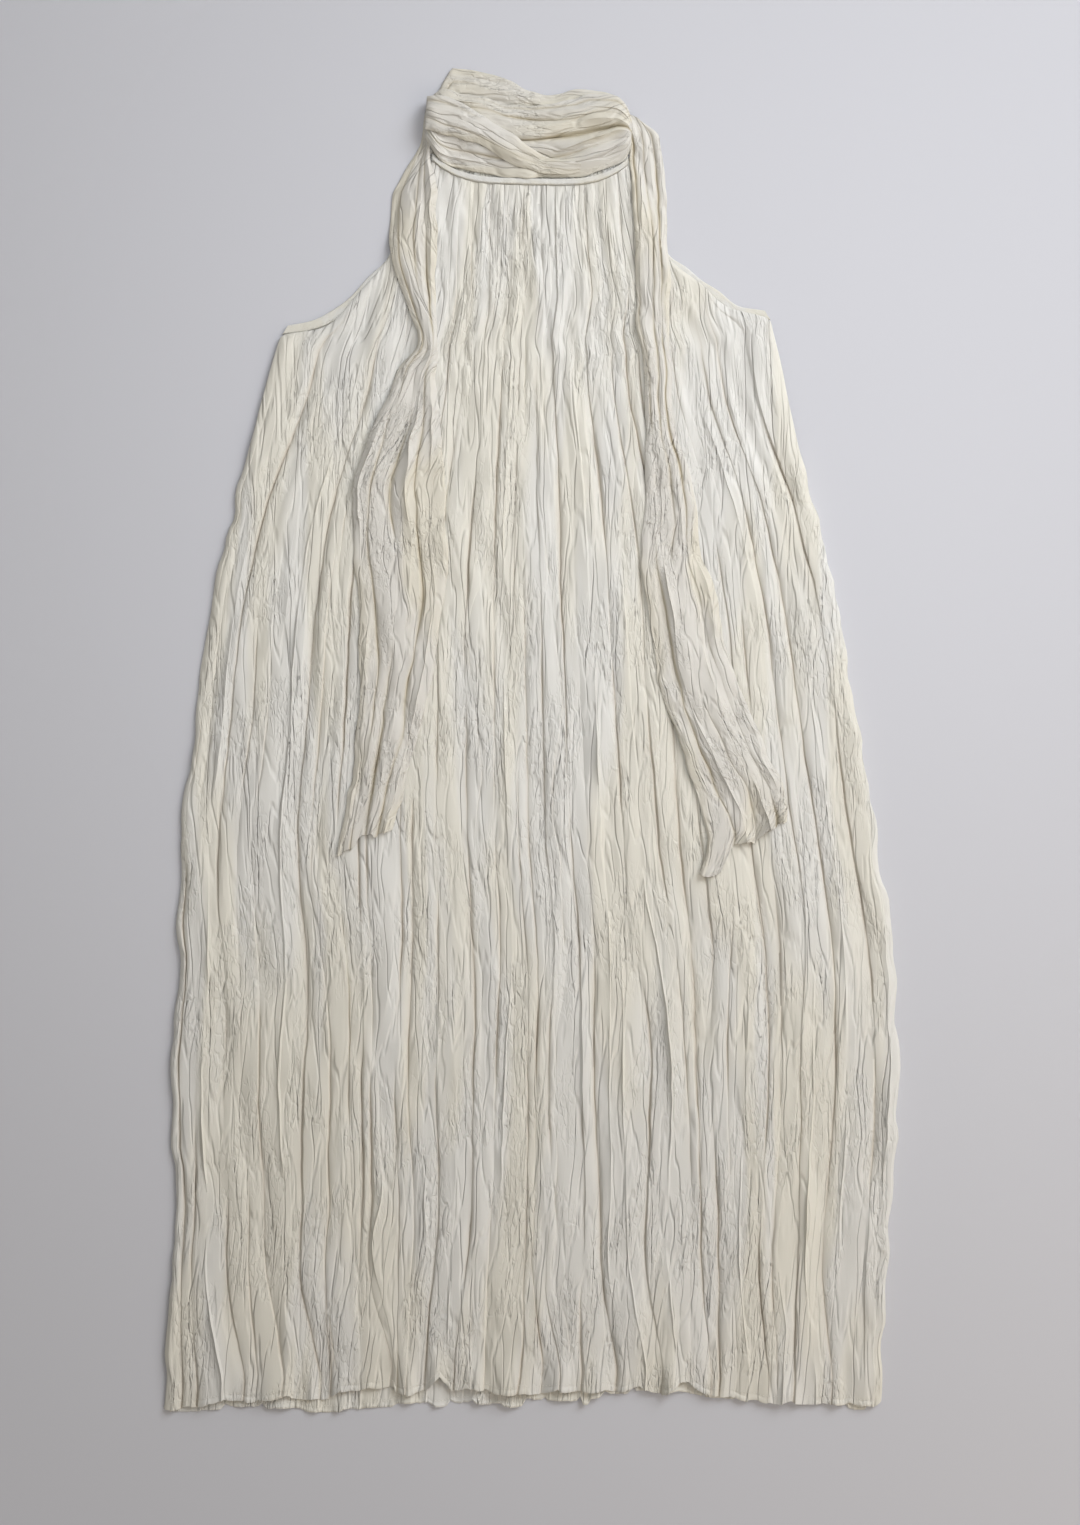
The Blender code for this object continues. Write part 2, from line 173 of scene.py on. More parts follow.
# The front's main creases from left to right
CREASE_LEVELS = (-608, -475, -304, -152)
CREASES = (
    Crease(-324, -326, -330, -326, -2.2, 1.2, Reach.LOWER_AND_MIDDLE),
    Crease(-309, -312, -308, -312, -1.8, 0.4, Reach.HEM),
    Crease(-288, -299, -303, -298, 2.2, -0.4, Reach.LOWER_AND_MIDDLE),
    Crease(-267, -281, -283, -290, -2.6, 1.0, Reach.WHOLE),
    Crease(-256, -263, -271, -273, -1.2, 0.3, Reach.LOWER_AND_MIDDLE),
    Crease(-233, -249, -256, -259, -2.0, -0.6, Reach.LOWER_AND_MIDDLE),
    Crease(-224, -231, -235, -236, 1.8, 0.4, Reach.MIDDLE_AND_UPPER),
    Crease(-199, -217, -214, -218, -2.8, 0.9, Reach.WHOLE),
    Crease(-190, -194, -192, -205, -2.6, -0.7, Reach.LOWER_AND_MIDDLE),
    Crease(-168, -172, -173, -182, -2.4, 0.5, Reach.MIDDLE_AND_UPPER),
    Crease(-161, -162, -161, -162, -3.0, 0.9, Reach.MIDDLE),
    Crease(-132, -153, -152, -155, -2.4, -0.6, Reach.LOWER_AND_MIDDLE),
    Crease(-127, -125, -129, -123, -2.0, 0.6, Reach.LOWER_AND_MIDDLE),
    Crease(-118, -114, -118, -112, -2.6, -0.5, Reach.WHOLE),
    Crease(-99, -91, -90, -89, -2.4, 0.8, Reach.WHOLE),
    Crease(-80, -73, -73, -78, 1.6, -0.3, Reach.HEM),
    Crease(-73, -58, -55, -59, -2.8, 0.8, Reach.WHOLE),
    Crease(-45, -40, -34, -32, -2.2, -0.7, Reach.WHOLE),
    Crease(-30, -33, -25, -21, 1.8, 0.5, Reach.MIDDLE_AND_UPPER),
    Crease(-11, -6, -4, -8, -1.8, 0.6, Reach.WHOLE),
    Crease(11, 1, 4, 1, -2.2, -0.5, Reach.LOWER_AND_MIDDLE),
    Crease(27, 14, 17, 19, -2.4, 1.0, Reach.WHOLE),
    Crease(49, 49, 46, 42, -2.6, 2.2, Reach.WHOLE),
    Crease(81, 65, 60, 57, -2.6, 0.8, Reach.LOWER),
    Crease(92, 72, 74, 72, 2.8, -0.8, Reach.WHOLE),
    Crease(108, 91, 86, 82, 2.0, 0.5, Reach.LOWER),
    Crease(123, 108, 110, 92, -2.8, 1.0, Reach.WHOLE),
    Crease(138, 129, 130, 108, 2.6, -0.8, Reach.LOWER_AND_MIDDLE),
    Crease(149, 150, 145, 127, -2.0, 0.5, Reach.MIDDLE_AND_UPPER),
    Crease(171, 160, 155, 148, -2.8, -0.7, Reach.WHOLE),
    Crease(178, 178, 171, 166, -2.4, 0.8, Reach.WHOLE),
    Crease(193, 190, 184, 188, -2.0, -0.6, Reach.MIDDLE_AND_UPPER),
    Crease(206, 196, 200, 203, 2.2, 0.4, Reach.LOWER),
    Crease(222, 214, 223, 214, -2.8, 1.0, Reach.WHOLE),
    Crease(230, 226, 234, 228, -2.2, -0.5, Reach.LOWER_AND_MIDDLE),
    Crease(244, 249, 251, 253, -2.0, 1.3, Reach.WHOLE),
    Crease(265, 256, 261, 262, 2.2, -0.4, Reach.LOWER),
    Crease(277, 269, 281, 273, -2.6, 0.9, Reach.WHOLE),
    Crease(291, 285, 291, 286, 1.6, -0.4, Reach.MIDDLE),
    Crease(309, 309, 316, 305, -2.6, 2.0, Reach.WHOLE),
    Crease(321, 323, 333, 325, 1.8, -0.8, Reach.LOWER_AND_MIDDLE),
)

# The front's slanting creases, each by its upper and its lower end
SLANTS = (
    Slant(-105, 374, -200, 200, 2.6, 5.5),
    Slant(-138, 440, -172, 350, 2.0, 5.0),
    Slant(-168, 392, -244, 322, 1.6, 4.5),
    Slant(-184, 353, -236, 290, 2.2, 5.5),
    Slant(-150, 318, -196, 246, 1.6, 4.5),
    Slant(-203, 300, -252, 205, 1.8, 5.0),
    Slant(-270, 146, -310, 24, 2.0, 4.5),
    Slant(-229, 209, -243, 48, 1.7, 4.0),
    Slant(-212, 158, -240, 0, 1.9, 4.5),
    Slant(-196, 205, -216, -8, 2.0, 4.5),
    Slant(-170, 135, -195, -6, 1.7, 4.0),
    Slant(144, 424, 170, 352, 3.0, 6.0),
    Slant(173, 424, 214, 250, 1.8, 4.5),
    Slant(191, 362, 228, 212, 1.4, 4.0),
    Slant(214, 385, 258, 172, 1.2, 4.0),
    Slant(231, 250, 268, 90, 1.2, 4.0),
)

# The scarf's tails from the collar down, the edge on the left first
LEFT_TAIL = section_table(
    (-101, 597, -91, 589), (-107, 568, -97, 561), (-120, 542, -93, 540), (-132, 518, -88, 518),
    (-136, 481, -90, 481), (-128, 443, -91, 443), (-119, 415, -91, 415), (-107, 376, -90, 373),
    (-126, 352, -91, 348), (-138, 323, -87, 320), (-154, 283, -84, 281), (-170, 235, -81, 232),
    (-168, 177, -80, 177), (-162, 113, -87, 114), (-164, 37, -99, 39), (-168, -14, -112, -9),
    (-175, -61, -125, -59), (-183, -105, -131, -86),
)

RIGHT_TAIL = section_table(
    (86, 597, 103, 589), (92, 570, 122, 572), (94, 547, 126, 540), (96, 509, 128, 497),
    (99, 466, 130, 459), (98, 433, 131, 428), (100, 395, 131, 389), (106, 347, 132, 352),
    (107, 300, 135, 300), (109, 255, 149, 259), (107, 205, 158, 210), (104, 171, 162, 176),
    (110, 124, 175, 133), (117, 73, 186, 81), (128, 30, 203, 33), (145, -18, 222, -10),
    (162, -71, 238, -42), (166, -102, 241, -62), (158, -128, 243, -76),
)

# How far the tails' ends hang beyond their last section, at shares across
LEFT_END = ((0.0, 4.0), (0.17, 5.0), (0.32, 4.0), (0.36, -6.0), (0.6, -5.0), (0.66, 0.0),
            (1.0, 0.0))
RIGHT_END = ((0.0, -2.0), (0.16, 8.0), (0.32, 8.5), (0.35, -12.0), (0.58, -3.0), (0.64, 3.0),
             (0.8, -1.0), (1.0, 0.0))

# The tails' folds, by their shares across at these y
TAIL_LEVELS = (560, 460, 360, 220, 80, -80)
RIGHT_TAIL_LEVELS = (560, 460, 360, 220, 80, -40, -102)
LEFT_TAIL_FOLDS = (
    Fold((0.08, 0.07, 0.10, 0.07, 0.09, 0.10), 1.4, 0.4),
    Fold((0.22, 0.18, 0.26, 0.17, 0.21, 0.22), -1.8, 0.5),
    Fold((0.50, 0.52, 0.52, 0.42, 0.44, 0.45), -2.8, 0.6),
    Fold((0.62, 0.64, 0.66, 0.56, 0.58, 0.56), 1.8, -0.4),
    Fold((0.72, 0.76, 0.78, 0.69, 0.72, 0.68), -3.2, 0.8),
    Fold((0.86, 0.90, 0.90, 0.84, 0.88, 0.88), 1.8, 0.4),
)
RIGHT_TAIL_FOLDS = (
    Fold((0.12, 0.12, 0.14, 0.22, 0.22, 0.24, 0.34), -2.9, 0.8),
    Fold((0.25, 0.27, 0.30, 0.34, 0.33, 0.36, 0.50), 1.7, -0.4),
    Fold((0.45, 0.50, 0.50, 0.52, 0.50, 0.54, 0.67), -1.8, 0.5),
    Fold((0.66, 0.66, 0.68, 0.68, 0.68, 0.70, 0.81), 1.7, -0.6),
    Fold((0.76, 0.76, 0.80, 0.79, 0.79, 0.81, 0.89), -4.0, 1.0),
    Fold((0.90, 0.90, 0.91, 0.91, 0.91, 0.92, 0.96), 1.8, -0.4),
)

# The scarf round the neck, each table from the left end to the right, its lower edge first
NECK_LOOP = section_table(
    (-99, 557, -99, 600), (-89, 557, -89, 614), (-80, 557, -81, 628), (-72, 557, -74, 637.5),
    (-58, 557, -60, 637.5), (-38, 557, -38, 634), (-20, 557, -20, 627), (-4, 557, -4, 619),
    (14, 557, 14, 614), (30, 557, 30, 615), (48, 557, 48, 619), (66, 557, 66, 618),
    (80, 557, 80, 614), (88, 557, 88, 604), (94, 557, 94, 577),
)

UNDER_WRAP = section_table(
    (-101, 568, -97, 609), (-87, 548, -84, 617), (-66, 541, -66, 614), (-46, 537, -46, 608),
    (-24, 534, -24, 602), (-2, 533, -2, 601), (20, 533, 20, 604), (42, 535, 42, 608),
    (62, 539, 62, 612), (78, 544, 79, 611), (89, 550, 90, 602), (94, 560, 95, 588),
)

OVER_WRAP = section_table(
    (-101, 577, -99, 609), (-88, 571, -82, 608), (-70, 567, -60, 599), (-46, 561, -38, 583),
    (-24, 550, -17, 571), (-6, 541, 0, 561), (12, 536, 15, 553), (30, 536, 32, 549),
    (46, 540, 47, 547),
)

# The folds round the neck, by their shares across at these x
WRAP_LEVELS = (-90, -50, -10, 30, 65, 90)
LOOP_FOLDS = (
    Fold((0.55, 0.50, 0.50, 0.52, 0.55, 0.55), -1.6, 0.4),
    Fold((0.72, 0.68, 0.66, 0.68, 0.70, 0.70), 1.6, 0.2),
    Fold((0.84, 0.80, 0.80, 0.80, 0.82, 0.84), -1.8, 0.4),
    Fold((0.93, 0.92, 0.92, 0.90, 0.92, 0.94), 1.2, 0.0),
)
UNDER_FOLDS = (
    Fold((0.10, 0.12, 0.13, 0.15, 0.20, 0.22), 3.2, 0.4),
    Fold((0.22, 0.24, 0.24, 0.27, 0.30, 0.36), -2.6, 0.4),
    Fold((0.31, 0.33, 0.34, 0.36, 0.40, 0.49), 2.2, 0.2),
    Fold((0.42, 0.46, 0.50, 0.51, 0.51, 0.56), -4.4, 0.2),
    Fold((0.62, 0.66, 0.71, 0.68, 0.66, 0.62), 2.8, 0.2),
    Fold((0.73, 0.79, 0.83, 0.76, 0.73, 0.68), -3.0, 0.4),
    Fold((0.84, 0.88, 0.90, 0.85, 0.80, 0.75), 2.4, 0.0),
    Fold((0.92, 0.95, 0.96, 0.93, 0.90, 0.85), -1.6, 0.4),
)
OVER_FOLDS = (
    Fold((0.30, 0.26, 0.30, 0.35, 0.35, 0.35), -0.9, 0.4),
    Fold((0.62, 0.66, 0.60, 0.60, 0.60, 0.60), 1.0, 0.2),
    Fold((0.86, 0.86, 0.82, 0.80, 0.80, 0.80), -1.4, 0.3),
)


def srgb(colour: str) -> tuple[float, float, float, float]:
    """Turn an sRGB hex colour into the linear one that a shader takes.

    Args:
        colour: Six hex digits after a hash sign.

    Returns:
        Red, green, blue and an alpha of 1.
    """
    shares = [int(colour[place : place + 2], 16) / 255 for place in (1, 3, 5)]
    linear = [c / 12.92 if c <= 0.04045 else ((c + 0.055) / 1.055) ** 2.4 for c in shares]
    return (linear[0], linear[1], linear[2], 1.0)


def smooth_through(knots: Sequence[float], values: Any, places: np.ndarray) -> np.ndarray:
    """Read a smooth curve through values at uneven knots.

    Args:
        knots: Rising places that the curve passes through.
        values: A value, or a row of values, for each knot.
        places: Where to read the curve.

    Returns:
        The curve's values, a row for each place.
    """
    marks = np.asarray(knots, float)
    rows = np.asarray(values, float)
    slopes = gentle_slopes(marks, rows)
    cell = np.clip(np.searchsorted(marks, places, side="right") - 1, 0, len(marks) - 2)
    span = marks[cell + 1] - marks[cell]
    t = np.clip((places - marks[cell]) / span, 0.0, 1.0)
    if rows.ndim > 1:
        span, t = span[:, None], t[:, None]
    start = (2 * t**3 - 3 * t**2 + 1) * rows[cell] + (t**3 - 2 * t**2 + t) * span * slopes[cell]
    end = (3 * t**2 - 2 * t**3) * rows[cell + 1] + (t**3 - t**2) * span * slopes[cell + 1]
    return start + end


def gentle_slopes(marks: np.ndarray, rows: np.ndarray) -> np.ndarray:
    """Slopes at the knots of a curve that never swings past its values.

    Args:
        marks: The knots.
        rows: A value, or a row of values, for each knot.

    Returns:
        The slopes, in the shape of rows.
    """
    rises = np.diff(rows, axis=0) / np.diff(marks).reshape((-1,) + (1,) * (rows.ndim - 1))
    before, after = rises[:-1], rises[1:]
    level = before * after <= 0
    total = np.where(level, 1.0, before + after)
    inner = np.where(level, 0.0, 2 * before * after / total)
    return np.concatenate([rises[:1], inner, rises[-1:]])


def ease(values: Any) -> np.ndarray:
    """Turn shares from 0 to 1 into ones that start and stop gently."""
    share = np.clip(values, 0.0, 1.0)
    return share * share * (3 - 2 * share)



def ramp(values: Any, start: float, full: float) -> np.ndarray:
    """How far values are on the way from a start, 0, to a full place, 1, eased at both ends."""
    return ease((values - start) / (full - start))


def bell(distance: Any, width: float) -> np.ndarray:
    """A smooth bump: 1 at no distance, and next to nothing at twice its width."""
    return np.exp(-((distance / width) ** 2))


def crowd(places: np.ndarray, free: float = 0.86) -> np.ndarray:
    """Keep places below a free share as they are, and crowd all the further ones below 1."""
    room = 1 - free
    return np.where(places < free, places, 1 - room * np.exp(-(places - free) / room))


def distances_along(points: np.ndarray) -> np.ndarray:
    """Each point's distance from the first, measured along the line through them."""
    steps = np.linalg.norm(np.diff(points, axis=0), axis=1)
    return np.concatenate([[0.0], np.cumsum(steps)])


def cells(across: np.ndarray, along: np.ndarray, spare: int) -> tuple[Any, ...]:
    """Sort points into the cells of a lattice that starts a cell before the first of them.

    Args:
        across: Places across, in cells.
        along: Places along, in cells.
        spare: How many rows and columns the lattice has beyond the last point's.

    Returns:
        Each point's row and column, how far it lies into its cell along and across, and the
        lattice's shape.
    """
    column, row = np.floor(across).astype(int), np.floor(along).astype(int)
    low_column, low_row = column.min() - 1, row.min() - 1
    shape = (row.max() - low_row + spare, column.max() - low_column + spare)
    return row - low_row, column - low_column, along - row, across - column, shape


def spline_weights(share: np.ndarray) -> tuple[np.ndarray, ...]:
    """Weights of four neighbours for a smooth curve through the middle two.

    Args:
        share: How far a place is on the way from the second neighbour to the third.

    Returns:
        The four weights.
    """
    square, cube = share**2, share**3
    before = (-cube + 2 * square - share) / 2
    left = (3 * cube - 5 * square + 2) / 2
    right = (-3 * cube + 4 * square + share) / 2
    return before, left, right, (cube - square) / 2


def soft_noise(x: np.ndarray, y: np.ndarray, reach: tuple[float, float], seed: int) -> np.ndarray:
    """Smooth random heights over a plane.

    Args:
        x: Places across, in any shape.
        y: Places along, in the same shape.
        reach: How far apart unlike heights lie, across and along.
        seed: Picks the random heights.

    Returns:
        Heights of about -1 to 1, in the shape of x.
    """
    across, along = x / reach[0], y / reach[1]
    row, column, inside_along, inside_across, shape = cells(across, along, 3)
    lattice = np.random.default_rng(seed).uniform(-1.0, 1.0, shape)
    total = np.zeros(np.broadcast(across, along).shape)
    for down, weight_along in enumerate(spline_weights(inside_along)):
        for right, weight_across in enumerate(spline_weights(inside_across)):
            total += weight_along * weight_across * lattice[row + down - 1, column + right - 1]
    return total


def puffs(x: np.ndarray, y: np.ndarray, reach: tuple[float, float], seed: int) -> np.ndarray:
    """Long puffs of uneven size that meet in sharp valleys, which fork like a Y.

    Args:
        x: Places across, in any shape.
        y: Places along, in the same shape.
        reach: The puffs' usual width and length.
        seed: Picks where they lie.

    Returns:
        Heights of about -1 in the valleys to 1 on the puffs, in the shape of x.
    """
    across = x / reach[0] + 0.6 * soft_noise(x, y, (3 * reach[0], 0.8 * reach[1]), seed + 1)
    along = y / reach[1] + 0.3 * soft_noise(x, y, (2 * reach[0], 2 * reach[1]), seed + 2)
    row, column, inside_along, inside_across, shape = cells(across, along, 2)
    random = np.random.default_rng(seed)
    aside, onwards = random.uniform(0.0, 1.0, shape), random.uniform(0.0, 1.0, shape)
    nearest = np.inf
    for down in (-1, 0, 1):
        for right in (-1, 0, 1):
            place = (row + down, column + right)
            step_across = right + aside[place] - inside_across
            step_along = down + onwards[place] - inside_along
            nearest = np.minimum(nearest, step_across**2 + step_along**2)
    return 1 - PUFF_SLOPE * np.sqrt(nearest + PUFF_ROUNDNESS)


@dataclass
class Strip:
    """The plan of a strip of cloth between two edges, with rows at chosen places along it."""

    sections: Sequence[Section]
    along: np.ndarray
    squareness: float = 4.0  # how evenly its sag is spread across it
    ripple_reach: float = 11.0  # how far in from an edge its waves tell

    def __post_init__(self) -> None:
        """Read both edges and the sag at each row."""
        table = np.array(self.sections, float)
        edges = smooth_through(self.distances(self.sections), table, self.along)
        self.first, self.second, self.sag = edges[:, 0:2], edges[:, 2:4], edges[:, 4]
        self.widths = np.linalg.norm(self.second - self.first, axis=1)
        self.ripples = np.zeros((2, len(self.along)))

    @staticmethod
    def distances(sections: Sequence[Section]) -> np.ndarray:
        """Measure along the strip's middle.

        Args:
            sections: The sections from one end to the other.

        Returns:
            Each section's distance from the first.
        """
        table = np.array(sections, float)
        middles = (table[:, 0:2] + table[:, 2:4]) / 2
        middles[:, 1] -= table[:, 4]
        return distances_along(middles)

    def ripple_edges(self, size: float, reach: float, seed: int, rows: Any) -> None:
        """Make both edges a little wavy.

        Args:
            size: How far they stray.
            reach: How far apart the waves lie.
            seed: Picks the waves.
            rows: A share of the size, for all rows or for each.
        """
        for edge in (0, 1):
            waves = soft_noise(np.zeros_like(self.along), self.along, (1.0, reach), seed + edge)
            self.ripples[edge] += size * rows * waves

    def plan(self, shares: np.ndarray) -> np.ndarray:
        """Points of the plan.

        Args:
            shares: Places across at each row, from 0 at the first edge to 1 at the second.

        Returns:
            The x and y of each point.
        """
        widths, (first_waves, second_waves) = self.widths[:, None], self.ripples[..., None]
        stray = second_waves * bell((1 - shares) * widths, self.ripple_reach)
        stray = stray - first_waves * bell(shares * widths, self.ripple_reach)
        shares = shares + stray / widths
        points = self.first[:, None] + shares[..., None] * (self.second - self.first)[:, None]
        points[..., 1] -= self.sag[:, None] * (1 - np.abs(2 * shares - 1) ** self.squareness)
        return points

    def middle(self) -> np.ndarray:
        """The x and y of each row's middle."""
        return self.plan(np.full((len(self.along), 1), 0.5))[:, 0]


class Swell(NamedTuple):
    """How creases swell and fade: around a mean, by slow and quick changes, from least to most."""

    mean: float
    slow: float
    quick: float
    most: float
    least: float = 0.0

    def factors(self, slow: Any, quick: Any) -> np.ndarray:
        """What to multiply the creases' sizes by, for slow and quick changes of -1 to 1."""
        return np.clip(self.mean + self.slow * slow + self.quick * quick, self.least, self.most)


MAIN_SWELL = Swell(0.62, 0.75, 0.4, 1.5)
FINE_SWELL = Swell(0.3, 0.9, 1.3, 1.6)
STEP_SWELL = Swell(0.6, 0.9, 0.0, 1.5, -0.4)


@dataclass
class Creases:
    """The creases of a strip: where they run, how they stand, and the mesh columns between them.

    Each array has a row for each row of the mesh. The strip's two edges count as creases.
    """

    strip: Strip
    shares: np.ndarray
    heights: np.ndarray
    steps: np.ndarray
    seed: int
    fractions: tuple[float, ...] = (0.0, 0.08, 0.29, 0.5, 0.71, 0.92)  # of the way to the next
    level_size: float = 1.2  # how far whole creases rise and sink
    level_reach: float = 90.0
    level_lean: float = 0.25  # how much of a crease's height its neighbourhood shares
    puff: float = 0.02  # bulge between two creases, to a millimetre of their distance
    sharpness: float = 1.0  # the widest reach of a crease's cusp
    narrowest: float = 0.9
    squeezed: float = 0.3  # the share of the strip that its narrowest gaps may take up
    kinks: float = 0.5
    kink_reach: float = 15.0
    quick_size: float = 0.45  # quick bends beside the slow ones
    quick_reach: float = 0.35
    most_added: int = 4  # finer creases between two main ones
    added_height: tuple[float, float] = (0.6, 1.3)  # theirs, least and most
    added_step: float = 0.7
    part_reaches: tuple[float, float] = (110.0, 40.0)  # of slow and quick bends
    swell_reaches: tuple[float, float] = (90.0, 32.0)
    step_reach: float = 150.0
    cusp_reach: tuple[float, float] = (0.35, 0.3)  # a narrow fold's, and how it grows with width
    squashed: float = 0.05  # the share of its height that a crease without room keeps
    tight: float = 1.5  # a distance between creases with no room for facets
    roomy: float = 9.5  # and one with all the room they need
    deepest: float = 2.6  # the depth at which a fold has its full painted shade
    is_main: np.ndarray = field(init=False)

    def wander(self, size: float, reach: float) -> None:
        """Let the creases stray sideways.

        Args:
            size: How far they stray, as a share of the distance between them.
            reach: How far apart their bends lie.
        """
        gaps = np.diff(self.shares, axis=1)
        room = np.minimum(gaps[:, 1:], gaps[:, :-1])
        quick = self.quick_size * self.along_creases(reach * self.quick_reach, 2)
        stray = self.along_creases(reach, 1) + quick
        self.shares[:, 1:-1] += size * room * stray[:, 1:-1]

    def fill(self, widest: float, restless: float, size: float) -> None:
        """Add finer creases between the main ones, which meet and part like a Y.

        Args:
            widest: The usual distance between creases.
            restless: How much they stray towards either side.
            size: The height of the finer creases.
        """
        gaps = (np.diff(self.shares, axis=1) * self.strip.widths[:, None]).mean(axis=0)
        random = np.random.default_rng(self.seed)
        made = [(self.shares[:, 0], self.heights[:, 0], self.steps[:, 0])]
        main = [True]
        for number, gap in enumerate(gaps):
            left, right = self.shares[:, number], self.shares[:, number + 1]
            added = int(np.clip(round(gap / widest) - 1, 0, self.most_added))
            parts = self.uneven_parts(added + 1, restless, self.seed + 7 * number)
            for part in parts[:, :-1].T:
                share = left + (right - left) * part
                kind = 1.0 if random.uniform() < 0.5 else -1.0
                height = np.full_like(share, kind * size * random.uniform(*self.added_height))
                step = np.full_like(share, random.uniform(-self.added_step, self.added_step))
                made.append((share, height, step))
            made.append((right, self.heights[:, number + 1], self.steps[:, number + 1]))
            main += [False] * added + [True]
        self.shares, self.heights, self.steps = (np.stack(table, axis=1) for table in zip(*made))
        self.is_main = np.array(main)
        kinks = self.kinks * self.along_creases(self.kink_reach, 8) / self.strip.widths[:, None]
        self.shares[:, 1:-1] += kinks[:, 1:-1]
        self.part()

    def uneven_parts(self, count: int, restless: float, seed: int) -> np.ndarray:
        """Share out the room between two creases, unevenly along the strip.

        Args:
            count: The number of parts.
            restless: How unlike they are.
            seed: Picks their sizes.

        Returns:
            For each row the share at which each part ends, the last one at 1.
        """
        index, along = np.meshgrid(np.arange(float(count)), self.strip.along)
        slow = soft_noise(index, along, (1.0, self.part_reaches[0]), seed)
        quick = soft_noise(index, along, (1.0, self.part_reaches[1]), seed + 3)
        parts = np.exp(restless * (slow + 0.4 * quick))
        return np.cumsum(parts, axis=1) / parts.sum(axis=1, keepdims=True)

    def part(self) -> None:
        """Keep neighbouring creases a little apart."""
        gaps = np.diff(self.shares, axis=1)
        least = np.minimum(self.narrowest / self.strip.widths[:, None],
                           self.squeezed / gaps.shape[1])
        gaps = np.maximum(gaps, least)
        places = np.cumsum(gaps, axis=1) / gaps.sum(axis=1, keepdims=True)
        self.shares = np.concatenate([np.zeros((len(places), 1)), places], axis=1)

    def along_creases(self, reach: float, seed: int) -> np.ndarray:
        """Smooth random values along each crease, each on its own."""
        number, along = np.meshgrid(np.arange(float(self.shares.shape[1])), self.strip.along)
        return soft_noise(number, along, (1.0, reach), self.seed + seed)

    def fade(self) -> None:
        """Let every crease swell and fade along its length."""
        changes = [self.along_creases(reach, 3 + n) for n, reach in enumerate(self.swell_reaches)]
        swells = np.where(self.is_main, MAIN_SWELL.factors(*changes), FINE_SWELL.factors(*changes))
        self.heights = self.heights * swells
        self.steps = self.steps * STEP_SWELL.factors(self.along_creases(self.step_reach, 5), 0.0)

    def columns(self) -> tuple[np.ndarray, np.ndarray]:
        """Lay the mesh's columns between the creases.

        Returns:
            For each column the crease to its left, and its fraction of the way to the next.
        """
        strips = self.shares.shape[1] - 1
        owner = np.repeat(np.arange(strips), len(self.fractions))
        fraction = np.tile(self.fractions, strips)
        return np.append(owner, strips - 1), np.append(fraction, 1.0)

    def surface(self) -> tuple[np.ndarray, np.ndarray, np.ndarray]:
        """Work out the creased surface.

        Returns:
            Shares across, heights over the cloth's middle level, and how deep in a fold each
            point lies, from 0 to 1, for the painted shade in the folds, each with a row for each
            row of the mesh.
        """
        owner, fraction = self.columns()
        left, right = self.shares[:, owner], self.shares[:, owner + 1]
        places = left + (right - left) * fraction
        widths = (right - left) * self.strip.widths[:, None]
        room = np.clip((widths - self.tight) / (self.roomy - self.tight), 0.0, 1.0)
        levels = self.level_size * self.along_creases(self.level_reach, 6)
        levels = levels + self.level_lean * self.heights
        high_left = levels[:, owner] + self.steps[:, owner] / 2
        high_right = levels[:, owner + 1] - self.steps[:, owner + 1] / 2
        crown = self.puff * widths * 4 * fraction * (1 - fraction)
        facets = high_left * (1 - fraction) + high_right * fraction + crown
        reach = np.minimum(self.sharpness, self.cusp_reach[1] * widths + self.cusp_reach[0])
        from_left = np.exp(-(fraction * widths) / reach)
        from_right = np.exp(-((1 - fraction) * widths) / reach)
        cusps = self.heights[:, owner] * from_left + self.heights[:, owner + 1] * from_right
        at_crease = fraction == 0.0
        facets[:, at_crease] = levels[:, owner[at_crease]]
        cusps[:, at_crease] = self.heights[:, owner[at_crease]]
        cusps[:, -1] = self.heights[:, -1]
        depth = np.clip(-cusps / self.deepest, 0.0, 1.0)
        kept = self.squashed + (1 - self.squashed) * room
        return places, facets * room + cusps * kept, depth

    def strays(self, hang: np.ndarray, tilt: np.ndarray) -> np.ndarray:
        """How far the cloth's end strays from its line between creases.

        Args:
            hang: How far each stretch between two creases stops above the line.
            tilt: How much higher its right end is than its left one.

        Returns:
            The stray of each column, which is none at the creases.
        """
        owner, fraction = self.columns()
        return (hang[owner] + tilt[owner] * (fraction - 0.5)) * (fraction > AT_CREASE)


